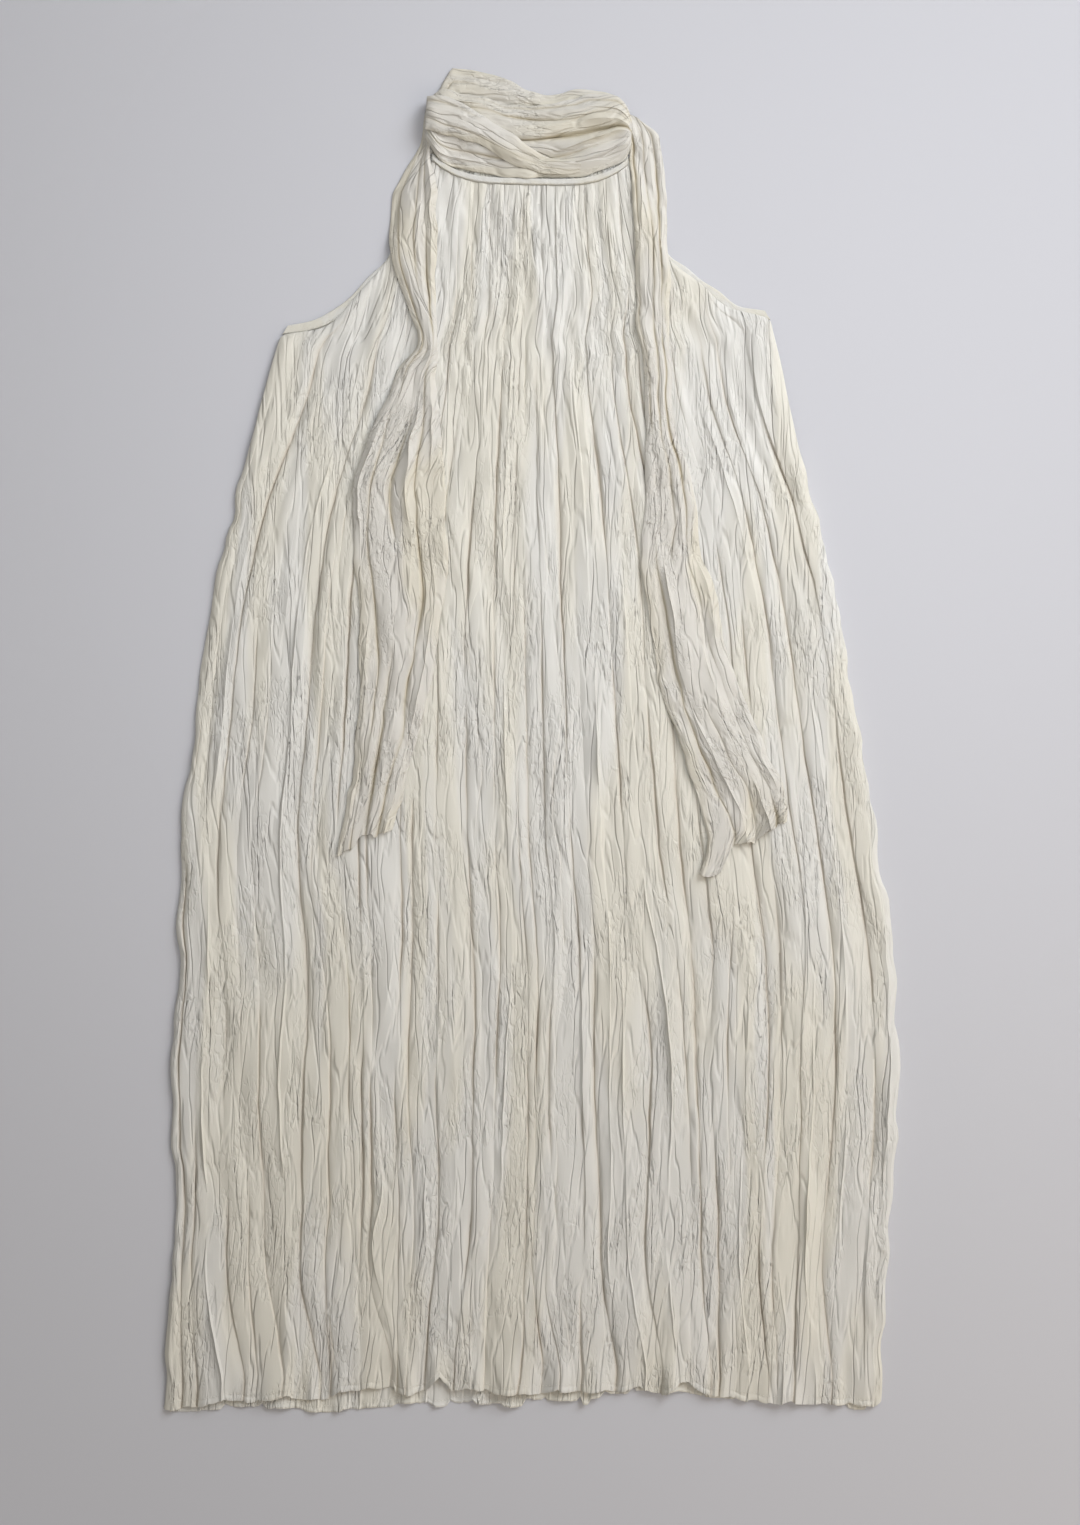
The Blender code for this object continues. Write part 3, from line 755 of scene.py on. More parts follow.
class Laid:
    """Upper faces of the pieces laid so far, on which the next ones rest."""

    def __init__(self) -> None:
        """Start with the bare ground."""
        self.trees: list[BVHTree] = []

    def add(self, points: np.ndarray) -> None:
        """Keep a sheet's surface.

        Args:
            points: Its grid of points in millimetres.
        """
        rows, columns = points.shape[:2]
        corner = (np.arange(rows - 1)[:, None] * columns + np.arange(columns - 1)).ravel()
        faces = np.stack([corner, corner + 1, corner + columns + 1, corner + columns], axis=1)
        self.trees.append(BVHTree.FromPolygons(points.reshape(-1, 3).tolist(), faces.tolist()))

    def height(self, x: float, y: float) -> float:
        """Find what is on top at a place.

        Args:
            x: The place's x.
            y: Its y.

        Returns:
            The height of the topmost face there, or 0 on the bare ground.
        """
        above, down = Vector((x, y, LOOKOUT)), Vector((0.0, 0.0, -1.0))
        hits = [tree.ray_cast(above, down)[0] for tree in self.trees]
        return max([hit.z for hit in hits if hit] + [0.0])

    def support(self, plan: np.ndarray, spread: int, softening: int) -> np.ndarray:
        """The smooth level on which a sheet rests.

        Args:
            plan: The sheet's grid of x and y.
            spread: Over how many neighbours it bridges hollows.
            softening: How many times the level is evened out.

        Returns:
            A level for each point.
        """
        exact = np.array([[self.height(x, y) for x, y in row] for row in plan.tolist()])
        level = exact
        for _ in range(spread):
            level = np.max(neighbours(level), axis=0)
        for _ in range(softening):
            level = np.mean(neighbours(level), axis=0)
        return np.maximum(level, exact)


def neighbours(values: np.ndarray) -> list[np.ndarray]:
    """Line up each place of a grid with its neighbours.

    Args:
        values: The grid.

    Returns:
        The grid, and its copies moved by one place in each direction.
    """
    padded = np.pad(values, 1, mode="edge")
    rows, columns = values.shape
    offsets = ((1, 1), (0, 1), (2, 1), (1, 0), (1, 2))
    return [padded[down : down + rows, right : right + columns] for down, right in offsets]


class Crinkles(NamedTuple):
    """A layer of crinkles: its width and length as shares of the widest ones', and its height."""

    across: float
    along: float
    height: float


@dataclass(frozen=True)
class Satin:
    """Crinkled polyester satin: a close satin weave with a soft sheen, set in fine crinkles.

    It is a pale ivory, a little warmer in stripes, and painted darker and creamier in the folds as
    shade and light bounced in them. Its long threads give a broad dull gloss and no sharp
    highlight.
    """

    name: str
    slot: str
    colour: str = "#dad8d0"
    warm_colour: str = "#dbd7c9"
    # painted shade: the colour of the deepest folds
    fold_shade_colour: str = "#c4bcad"
    roughness: float = 0.46
    ior: float = 1.5
    gloss: float = 0.3  # less than the yarn's own, as the weave breaks it up
    sheen: float = 0.08
    sheen_roughness: float = 0.4
    crinkle_mm: float = 1.1  # how high the fine crinkles stand
    crinkle_across: float = 13.0  # from one to the next
    crinkle_along: float = 95.0
    crease_width: float = 0.16  # the share of that distance in which a crinkle rises
    slub_mm: float = 0.03
    slub_across: float = 0.8  # threads are far finer, and drawn this coarse so that they show
    slub_along: float = 14.0
    layers: tuple[Crinkles, ...] = (
        Crinkles(1.0, 1.0, 1.0), Crinkles(0.55, 0.45, -0.5), Crinkles(0.4, 0.2, 0.4),
    )

    def make(self) -> bpy.types.Material:
        """Build the cloth's shader.

        Returns:
            The material.
        """
        material = bpy.data.materials.new(self.name)
        material.use_nodes = True
        tree = material.node_tree
        place = add_node(tree, "ShaderNodeUVMap", {"uv_map": CLOTH_MAP}, {}).outputs["UV"]
        nodes = SatinNodes(self, tree, place)
        set_inputs(tree, tree.nodes["Principled BSDF"], {
            "Base Color": nodes.tint(),
            "Normal": nodes.relief(),
            "Roughness": self.roughness,
            "Metallic": 0.0,
            "IOR": self.ior,
            "Specular IOR Level": self.gloss,
            "Sheen Weight": self.sheen,
            "Sheen Roughness": self.sheen_roughness,
        })
        return material


@dataclass
class SatinNodes:
    """The shader nodes of a satin, on a socket that gives the place on the cloth in metres."""

    satin: Satin
    tree: bpy.types.NodeTree
    place: Any

    def tint(self) -> Any:
        """Colour the cloth: ivory, warmer in uneven stripes, and painted darker and creamier in the
        folds as shade.

        Returns:
            The colour's socket.
        """
        warmth = self.stripes((4.0, 4.0), (2.0, 0.3), (0.38, 0.6))
        # painted shade: the deeper a point lies in a fold, the nearer its colour comes to the
        # darker fold colour
        fold = add_node(self.tree, "ShaderNodeAttribute", {"attribute_name": FOLD_SHADE_DEPTH}, {})
        colour = srgb(self.satin.colour)
        for share, other in ((warmth, self.satin.warm_colour),
                             (fold.outputs["Fac"], self.satin.fold_shade_colour)):
            inputs = {"Factor": share, "A": colour, "B": srgb(other)}
            mix = add_node(self.tree, "ShaderNodeMix", {"data_type": "RGBA"}, inputs)
            colour = mix.outputs["Result"]
        return colour

    def relief(self) -> Any:
        """Raise the crinkles off the surface, layer by layer, and then the threads.

        Returns:
            The normal's socket.
        """
        satin = self.satin
        patches = self.stripes((3.0, 1.0), (1.0, 0.5), (0.42, 0.6))
        heights = []
        for across, along, height in satin.layers:
            facets = self.facets(satin.crinkle_across * across, satin.crinkle_along * along)
            if across < 1:  # the finer layers lie in patches
                facets = add_node(self.tree, "ShaderNodeMath", {"operation": "MULTIPLY"},
                                  {0: facets, 1: patches}).outputs[0]
            heights.append((facets, satin.crinkle_mm * height))
        threads = self.pattern(satin.slub_across, satin.slub_along, (0.0, 0.0))
        bump = None
        for height, size in (*heights, (threads, satin.slub_mm)):
            inputs = {"Height": height, "Distance": abs(size) * MM, "Strength": 1.0}
            if bump:
                inputs["Normal"] = bump.outputs["Normal"]
            bump = add_node(self.tree, "ShaderNodeBump", {"invert": size < 0}, inputs)
        return bump.outputs["Normal"]

    def drawn_out(self, across: float, along: float) -> Any:
        """Places on the cloth, in units of a pattern's width and length in millimetres."""
        inputs = {"Vector": self.place, "Scale": (1 / (across * MM), 1 / (along * MM), 1.0)}
        return add_node(self.tree, "ShaderNodeMapping", {}, inputs).outputs["Vector"]

    def pattern(self, across: float, along: float, grain: tuple[float, float]) -> Any:
        """Noise drawn out along the cloth.

        Args:
            across: How far apart its lines lie, in millimetres.
            along: How long they are, in millimetres.
            grain: How many finer layers it has, and how much its lines bend.

        Returns:
            The noise's socket.
        """
        inputs = {"Vector": self.drawn_out(across, along), "Scale": 1.0,
                  "Detail": grain[0], "Distortion": grain[1]}
        noise = add_node(self.tree, "ShaderNodeTexNoise", {"noise_dimensions": "2D"}, inputs)
        return noise.outputs["Fac"]

    def stripes(self, size: tuple[float, float], grain: tuple[float, float],
                limits: tuple[float, float]) -> Any:
        """Long soft stripes along the cloth.

        Args:
            size: Their width and length, in those of the widest crinkles.
            grain: How many finer layers they have, and how much they bend.
            limits: Where in the noise they start, and where they are full.

        Returns:
            Their socket, from 0 to 1.
        """
        across, along = self.satin.crinkle_across * size[0], self.satin.crinkle_along * size[1]
        noise = self.pattern(across, along, grain)
        inputs = {"Value": noise, "From Min": limits[0], "From Max": limits[1]}
        return add_node(self.tree, "ShaderNodeMapRange", SMOOTH_STEP, inputs).outputs[0]

    def facets(self, across: float, along: float) -> Any:
        """Long smooth facets of uneven size and level, parted by thin creases that fork like a Y.

        Args:
            across: The facets' usual width, in millimetres.
            along: Their usual length, in millimetres.

        Returns:
            The height's socket: 0 in the creases and up to 1 on the facets.
        """
        tree, flat = self.tree, self.drawn_out(across, along)
        bends = add_node(tree, "ShaderNodeTexNoise", {"noise_dimensions": "2D"},
                         {"Vector": flat, "Scale": 0.7, "Detail": 2.0})
        moved = add_node(tree, "ShaderNodeVectorMath", {"operation": "MULTIPLY_ADD"},
                         {0: bends.outputs["Color"], 1: (3.0, 1.0, 0.0), 2: flat})
        inputs = {"Vector": moved.outputs["Vector"], "Scale": 1.0}
        edges = add_node(tree, "ShaderNodeTexVoronoi",
                         {"voronoi_dimensions": "2D", "feature": "DISTANCE_TO_EDGE"}, inputs)
        tops = add_node(tree, "ShaderNodeTexVoronoi", {"voronoi_dimensions": "2D"}, inputs)
        rise = add_node(tree, "ShaderNodeMapRange", SMOOTH_STEP,
                        {"Value": edges.outputs["Distance"], "From Max": self.satin.crease_width})
        level = add_node(tree, "ShaderNodeMapRange", {},
                         {"Value": tops.outputs["Color"], "To Min": 0.3})
        height = add_node(tree, "ShaderNodeMath", {"operation": "MULTIPLY"},
                          {0: rise.outputs[0], 1: level.outputs[0]})
        return height.outputs[0]


def add_node(tree: bpy.types.NodeTree, kind: str, settings: dict[str, Any],
             inputs: dict[Any, Any]) -> bpy.types.Node:
    """Add a shader node.

    Args:
        tree: Where it goes.
        kind: Blender's name for the node.
        settings: Values of its own properties.
        inputs: For each input, a socket to link or a value.

    Returns:
        The node.
    """
    node = tree.nodes.new(kind)
    for name, value in settings.items():
        setattr(node, name, value)
    set_inputs(tree, node, inputs)
    return node


def set_inputs(tree: bpy.types.NodeTree, node: bpy.types.Node, inputs: dict[Any, Any]) -> None:
    """Link or set a node's inputs.

    Args:
        tree: The node's tree.
        node: The node.
        inputs: For each input, a socket to link or a value.
    """
    for name, value in inputs.items():
        if isinstance(value, bpy.types.NodeSocket):
            tree.links.new(value, node.inputs[name])
        else:
            node.inputs[name].default_value = value


def flat_map(across: np.ndarray, along: np.ndarray) -> np.ndarray:
    """Lay out the flat cloth of a sheet.

    Args:
        across: Places across it, a row for all rows or for each.
        along: Each row's place along it.

    Returns:
        The grid of places.
    """
    shape = (len(along), across.shape[-1])
    return np.dstack([np.broadcast_to(across, shape), np.broadcast_to(along[:, None], shape)])


def make_sheet(name: str, points: np.ndarray, cloth: np.ndarray, depth: np.ndarray,
               thickness: float = CLOTH_THICKNESS) -> bpy.types.Object:
    """Turn a grid of points into a thin closed sheet of cloth.

    Args:
        name: The piece's name.
        points: The upper face's grid of points, in millimetres.
        cloth: The same points' places on the flat cloth, in millimetres.
        depth: How deep in a fold each point lies, from 0 to 1, which the shader paints as shade.
        thickness: The cloth's thickness, in millimetres.

    Returns:
        The piece.
    """
    rows, columns = points.shape[:2]
    bpy.ops.object.select_all(action="DESELECT")
    bpy.ops.mesh.primitive_grid_add(x_subdivisions=columns - 1, y_subdivisions=rows - 1, size=1.0)
    piece = bpy.context.object
    mesh = piece.data
    piece.name = mesh.name = name
    mesh.vertices.foreach_set("co", (points * MM).astype(np.float32).ravel())
    # kept on the mesh for the shader's painted shade in the folds
    fold = mesh.attributes.new(FOLD_SHADE_DEPTH, "FLOAT", "POINT")
    fold.data.foreach_set("value", depth.astype(np.float32).ravel())
    corners = np.zeros(len(mesh.loops), np.int32)
    mesh.loops.foreach_get("vertex_index", corners)
    mesh.uv_layers[0].name = CLOTH_MAP
    flat = (cloth.reshape(-1, 2) * MM)[corners]
    mesh.uv_layers[CLOTH_MAP].data.foreach_set("uv", flat.astype(np.float32).ravel())
    mesh.update()
    normals = np.zeros(3 * len(mesh.polygons), np.float32)
    mesh.polygons.foreach_get("normal", normals)
    if normals[2::3].mean() < 0:
        mesh.flip_normals()
    wall = piece.modifiers.new("Wall", "SOLIDIFY")
    wall.thickness = thickness * MM
    wall.offset = -1.0
    bpy.ops.object.modifier_apply(modifier=wall.name)
    bpy.ops.object.shade_smooth_by_angle(angle=SHARP_CREASE)
    return piece


def dress(piece: bpy.types.Object, node: str | None,
          material: bpy.types.Material) -> None:
    """Give a piece its finish and its place in the frame.

    Args:
        piece: The piece.
        node: The CAD node that it stands for, if it does.
        material: That finish's material.
    """
    piece.data.materials.clear()
    piece.data.materials.append(material)
    if node:
        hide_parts(node)
    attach(piece, BODY)
    log.info("%s: %d faces", piece.name, len(piece.data.polygons))


class Cut(NamedTuple):
    """The cut of what shows of a piece: its size, how it is held and what it lies on."""

    width: float
    length: float
    held: str
    rests_on: tuple[str, ...] = ()


class ClothPart(Protocol):
    """A piece of cloth that can be modelled, and the CAD node that it stands for."""

    node: str

    def build(self) -> bpy.types.Object:
        """Model the piece."""


def lay(part: ClothPart, material: bpy.types.Material, cut: Cut) -> None:
    """Args:
        part: The piece.
        material: That finish's material.
        cut: The size it was cut to, as far as it shows.
    """
    piece = part.build()
    dress(piece, part.node, material)
    area = sum(face.area for face in piece.data.polygons) / 2
    share = area / (cut.width * cut.length * MM * MM)
    log.info("%s: %.3f m2, %.2f of its cut", piece.name, area, share)


def spaced_rows(length: float, pitch: float, near_start: Sequence[float],
                near_end: Sequence[float]) -> np.ndarray:
    """Places of mesh rows along a strip, closer together at its ends.

    Args:
        length: The strip's length.
        pitch: The usual distance between rows.
        near_start: Distances of the first rows from the start.
        near_end: Distances of the last rows from the end, the largest first.

    Returns:
        The places from 0 to the length.
    """
    first, last = near_start[-1], length - near_end[0]
    count = max(2, round((last - first) / pitch))
    middle = np.linspace(first, last, count + 1)
    return np.concatenate([near_start[:-1], middle[:-1], length - np.array(near_end)])


def quarter_round(distance: np.ndarray, radius: float) -> np.ndarray:
    """How high a rolled edge stands at a distance in from it, as a share of the full height."""
    share = np.clip(distance / radius, 0.0, 1.0)
    return np.sqrt(1 - (1 - share) ** 2)


def hem_course(places: np.ndarray, corners: Sequence[tuple[float, float]], sag: float,
               notch: float = 0.0) -> np.ndarray:
    """Read a hem's y, which sags a little from corner to corner.

    Args:
        places: Where to read it.
        corners: The hem's corners, from left to right.
        sag: The deepest sag of a wide fold.
        notch: How far the hem runs up where two corners are close together.

    Returns:
        The y at each place.
    """
    x, y = np.array(corners, float).T
    cell = np.clip(np.searchsorted(x, places, side="right") - 1, 0, len(x) - 2)
    width = x[cell + 1] - x[cell]
    share = np.clip((places - x[cell]) / width, 0.0, 1.0)
    bow = np.where(width < NOTCH_WIDTH, -notch, np.minimum(sag, 0.1 * width))
    return np.interp(places, x, y) - bow * 4 * share * (1 - share)


def hang_hem(plan: np.ndarray, from_hem: np.ndarray, hem_y: np.ndarray, reach: float) -> None:
    """Draw the last rows of a sheet's plan down to its hem.

    Args:
        plan: The sheet's grid of x and y.
        from_hem: Each row's distance from the hem.
        hem_y: The hem's y in each column.
        reach: How far up from the hem the rows move.
    """
    drop = hem_y[None] - plan[-1:, :, 1]
    plan[..., 1] += drop * ramp(from_hem, reach, 0)


def hem_waves(plan: np.ndarray) -> np.ndarray:
    """The waves in which both hems lift together, so that the front's fit over the back's."""
    return soft_noise(plan[..., 0], np.full(plan.shape[:2], 5.0), (13.0, 40.0), 60)


@dataclass
class FrontPanel:
    """The front: creased from neckline to hem, its side edges rolled down to the ground."""

    laid: Laid
    name: str = "front_satin"
    node: str = "front_panel"
    middle_level: float = 6.0  # the cloth's usual height
    lowest: float = 3.3  # below it the creases flatten
    edge_level: float = 0.75  # of the rolled sides
    seam_level: float = 3.4  # of the edge above the underarms
    neck_level: float = 4.0
    roll_left: float = 9.0  # how far in the sides are rolled
    roll_right: float = 7.0
    arm_rows: tuple[float, float] = (230.0, 290.0)  # where the armholes end, along the panel
    edge_waves: tuple[tuple[float, float, int, float], ...] = (
        (1.8, 26.0, 11, 0.25), (1.5, 15.0, 21, 0.2),  # size, reach, seed, share above the arms
    )
    row_pitch: float = 8.4
    close_pitch: float = 5.4
    close_rows: float = 235.0  # how far down rows are that close
    last_rows: tuple[float, ...] = (9.0, 6.5, 5.0, 3.8, 2.6, 1.6, 0.8, 0.0)
    spacing: float = 12.0
    hem_reach: float = 120.0
    hem_sag: float = 2.0
    hem_notch: float = 1.5
    hem_hang: tuple[float, float] = (-1.2, 1.0)
    hem_tilt: float = 1.8
    hem_bead: float = 0.3  # the turned hem's thick edge
    hem_seam: float = 0.4  # the groove of its stitches
    hem_lift: float = 5.0
    broad: float = 1.1
    crinkle: float = 0.8
    full_width: float = 640.0
    fan_size: float = 1.1
    fan_left: float = 0.40  # its slant on either side, in radians
    fan_right: float = 0.25
    gather_size: float = 1.0
    crumple_size: float = 1.3
    neck_calm: float = 0.6  # how much the main creases fade towards the neckline
    arm_calm: float = 0.75  # and beside the armholes
    neck_pull: float = 0.15

    def crease_shares(self, strip: Strip) -> tuple[np.ndarray, np.ndarray, np.ndarray]:
        """Lay the table's creases along the strip.

        Args:
            strip: The front's plan.

        Returns:
            Shares, heights and steps for each row and crease, with the two edges first and last.
        """
        middle_y = strip.middle()[:, 1]
        levels = -np.array(CREASE_LEVELS[::-1], float)
        left = np.interp(levels, -middle_y, strip.first[:, 0])
        right = np.interp(levels, -middle_y, strip.second[:, 0])
        table = np.array([[row.waist, row.knee, row.low, row.hem] for row in CREASES]).T
        known = (table - left[:, None]) / (right - left)[:, None]
        shares = smooth_through(levels, known, np.clip(-middle_y, levels[0], levels[-1]))
        shares = self.upright_at_neck(shares, strip, middle_y)
        edge = np.zeros((len(shares), 1))
        shares = np.concatenate([edge, shares, edge + 1], axis=1)
        heights = np.tile([0.0, *(row.height for row in CREASES), 0.0], (len(shares), 1))
        steps = np.tile([0.0, *(row.step for row in CREASES), 0.0], (len(shares), 1))
        by_neck = 1 - 0.3 * ramp(middle_y, 330, 490)
        for number, row in enumerate(CREASES, start=1):
            low, high = row.reach.value
            inside = ramp(middle_y, low - REACH_FADE, low + REACH_FADE)
            inside = inside * ramp(middle_y, high + REACH_FADE, high - REACH_FADE)
            heights[:, number] *= (0.15 + 0.85 * inside) * by_neck
            steps[:, number] *= inside
        return shares, heights, steps

    def upright_at_neck(self, shares: np.ndarray, strip: Strip, middle_y: np.ndarray) -> np.ndarray:
        """Keep the middle creases nearly upright above the armholes, and crowd the outer ones.

        Args:
            shares: Shares across for each row and crease.
            strip: The front's plan.
            middle_y: Each row's y.

        Returns:
            The new shares.
        """
        bust = SIDES[0]
        pulled = 1 - self.neck_pull * ramp(middle_y, 200, 400)
        wider = np.maximum(1.0, (bust.second_x - bust.first_x) / strip.widths)
        reach = (pulled * wider)[:, None]
        outwards = 2 * shares - 1
        from_middle = np.abs(outwards)
        moved = crowd(from_middle * reach) + (1 - crowd(reach)) * from_middle**5
        return (1 + moved * np.sign(outwards)) / 2

    def build(self) -> bpy.types.Object:
        """Model the front panel.

        Returns:
            The piece.
        """
        sections = FRONT_TOP + SIDES
        length = Strip.distances(sections)[-1]
        first_rows = [0.0, 1.5, 3.5, 6.5, *np.arange(11.5, self.close_rows, self.close_pitch)]
        along = spaced_rows(length, self.row_pitch, first_rows, self.last_rows)
        strip = Strip(sections, along)
        below_arm = ramp(along, *self.arm_rows)
        for size, reach, seed, above_arm in self.edge_waves:
            strip.ripple_edges(size, reach, seed, above_arm + (1 - above_arm) * below_arm)
        creases = Creases(strip, *self.crease_shares(strip), seed=40)
        creases.wander(size=0.12, reach=120.0)
        creases.fill(self.spacing, restless=1.2, size=0.8)
        creases.heights *= (1 - self.neck_calm * ramp(along, 260, 100))[:, None]
        creases.fade()
        places, raised, depth = creases.surface()
        plan = strip.plan(places)
        from_hem = length - along[:, None]
        hem_y = hem_course(plan[-1, :, 0], FRONT_HEM, self.hem_sag, self.hem_notch)
        hang_hem(plan, from_hem, hem_y + self.hem_strays(creases), self.hem_reach)
        x, y = plan[..., 0], plan[..., 1]
        cloth_x = (places - 0.5) * (0.85 * strip.widths + 0.15 * self.full_width)[:, None]
        cloth = flat_map(cloth_x, along)
        raised = raised * (1 - self.arm_calm * ramp(y, 340, 385) * ramp(np.abs(x), 100, 135))
        broad = self.broad * soft_noise(x, y, (55.0, 260.0), 51)
        level = self.middle_level + broad + raised + self.crinkles(plan, cloth, along)
        level = np.maximum(level, self.lowest + 0.25 * (level - self.lowest))
        gathered = 0.45 + 0.55 * ease(along / 16)[:, None]
        level = self.neck_level + (level - self.neck_level) * gathered
        level = level + self.hem_relief(plan, from_hem)
        level = self.roll_edges(level, places * strip.widths[:, None], strip, below_arm)
        points = np.dstack([plan, level])
        self.laid.add(points)
        return make_sheet(self.name, points, cloth, depth)

    def crinkles(self, plan: np.ndarray, cloth: np.ndarray, along: np.ndarray) -> np.ndarray:
        """All that is finer than the creases, from the neckline's gathers to the armholes' fans.

        Args:
            plan: The sheet's grid of x and y.
            cloth: The same points on the flat cloth.
            along: Each row's distance from the neckline.

        Returns:
            Their heights.
        """
        x, y = plan[..., 0], plan[..., 1]
        across, lengthways = cloth[..., 0], cloth[..., 1]
        fine = self.crinkle * (1.6 * puffs(across, lengthways, (21.0, 95.0), 52)
                               + 0.6 * puffs(across, lengthways, (11.0, 45.0), 57))
        hang = 15 + 9 * soft_noise(x, 0 * y, (6.0, 1.0), 58)
        fading = np.exp(-along[:, None] / np.maximum(hang, 4))
        gathers = soft_noise(x, 0.2 * y, (2.7, 9.0), 56) * fading
        by_neck = ramp(along, 290, 120)[:, None] * ramp(np.abs(x), 150, 100)
        crumples = puffs(x, y, (12.0, 36.0), 62) + 0.5 * puffs(x, y, (7.0, 18.0), 63)
        fine = fine + self.gather_size * gathers + self.crumple_size * by_neck * crumples
        slant = np.where(x < 0, self.fan_left, self.fan_right)
        out = np.cos(slant) * np.abs(x) + np.sin(slant) * y + np.sign(x) * FAR_APART
        down = np.sin(slant) * np.abs(x) - np.cos(slant) * y
        by_arm = ramp(np.abs(x), 95, 155) * ramp(y, 190, 280)
        fan = self.fan_size * puffs(out, down, (17.0, 75.0), 54) * by_arm
        return fine + fan + self.slanting(plan)

    def slanting(self, plan: np.ndarray) -> np.ndarray:
        """The table's slanting creases.

        Args:
            plan: The sheet's grid of x and y.

        Returns:
            Their heights.
        """
        total = np.zeros(plan.shape[:2])
        for row in SLANTS:
            top, low = np.array([row.top_x, row.top_y]), np.array([row.low_x, row.low_y])
            length = np.linalg.norm(low - top)
            onwards = (low - top) / length
            from_top = plan - top
            share = (from_top @ onwards) / length
            aside = from_top @ np.array([-onwards[1], onwards[0]]) + row.width * np.sin(5 * share)
            trough = bell(aside, 1.25 * row.width)
            ridge = bell(aside - 2.2 * row.width, 1.4 * row.width)
            here = ease(3 * share) * ease(3 * (1 - share))
            total += row.depth * (0.6 * ridge - trough) * here
        return total

    def hem_strays(self, creases: Creases) -> np.ndarray:
        """Let the hem stray from its line between creases.

        Args:
            creases: The panel's creases.

        Returns:
            How far each column stops above the line, or below it if less than 0.
        """
        random = np.random.default_rng(61)
        count = creases.shares.shape[1]
        hang = random.uniform(*self.hem_hang, count)
        return creases.strays(hang, random.uniform(-self.hem_tilt, self.hem_tilt, count))

    def hem_relief(self, plan: np.ndarray, from_hem: np.ndarray) -> np.ndarray:
        """Lift the hem in waves, with a thick edge and a groove where it is sewn.

        Args:
            plan: The sheet's grid of x and y.
            from_hem: Each row's distance from the hem.

        Returns:
            The change of each point's height.
        """
        lifted = self.hem_lift * np.clip(hem_waves(plan), -0.3, 1.0) * ramp(from_hem, 45, 0)
        bead = self.hem_bead * bell(from_hem - 1.8, 1.5) - self.hem_seam * bell(from_hem - 5.6, 1.1)
        uneven = 0.6 + 1.2 * soft_noise(plan[..., 0], from_hem, (9.0, 30.0), 59)
        return lifted + bead * np.clip(uneven, 0, 1.4)

    def roll_edges(self, level: np.ndarray, across: np.ndarray, strip: Strip,
                   below_arm: np.ndarray) -> np.ndarray:
        """Round both side edges down to what they lie on.

        Args:
            level: Heights of the sheet.
            across: Distances from the left edge.
            strip: The front's plan.
            below_arm: 0 above the underarms and 1 below them, for each row.

        Returns:
            The new heights.
        """
        base = self.seam_level + (self.edge_level - self.seam_level) * below_arm[:, None]
        uneven = 1 + 0.35 * soft_noise(0 * strip.along, strip.along, (1.0, 60.0), 71)[:, None]
        left = quarter_round(across / uneven, self.roll_left)
        right = quarter_round((strip.widths[:, None] - across) / uneven, self.roll_right)
        return base + (level - base) * left * right


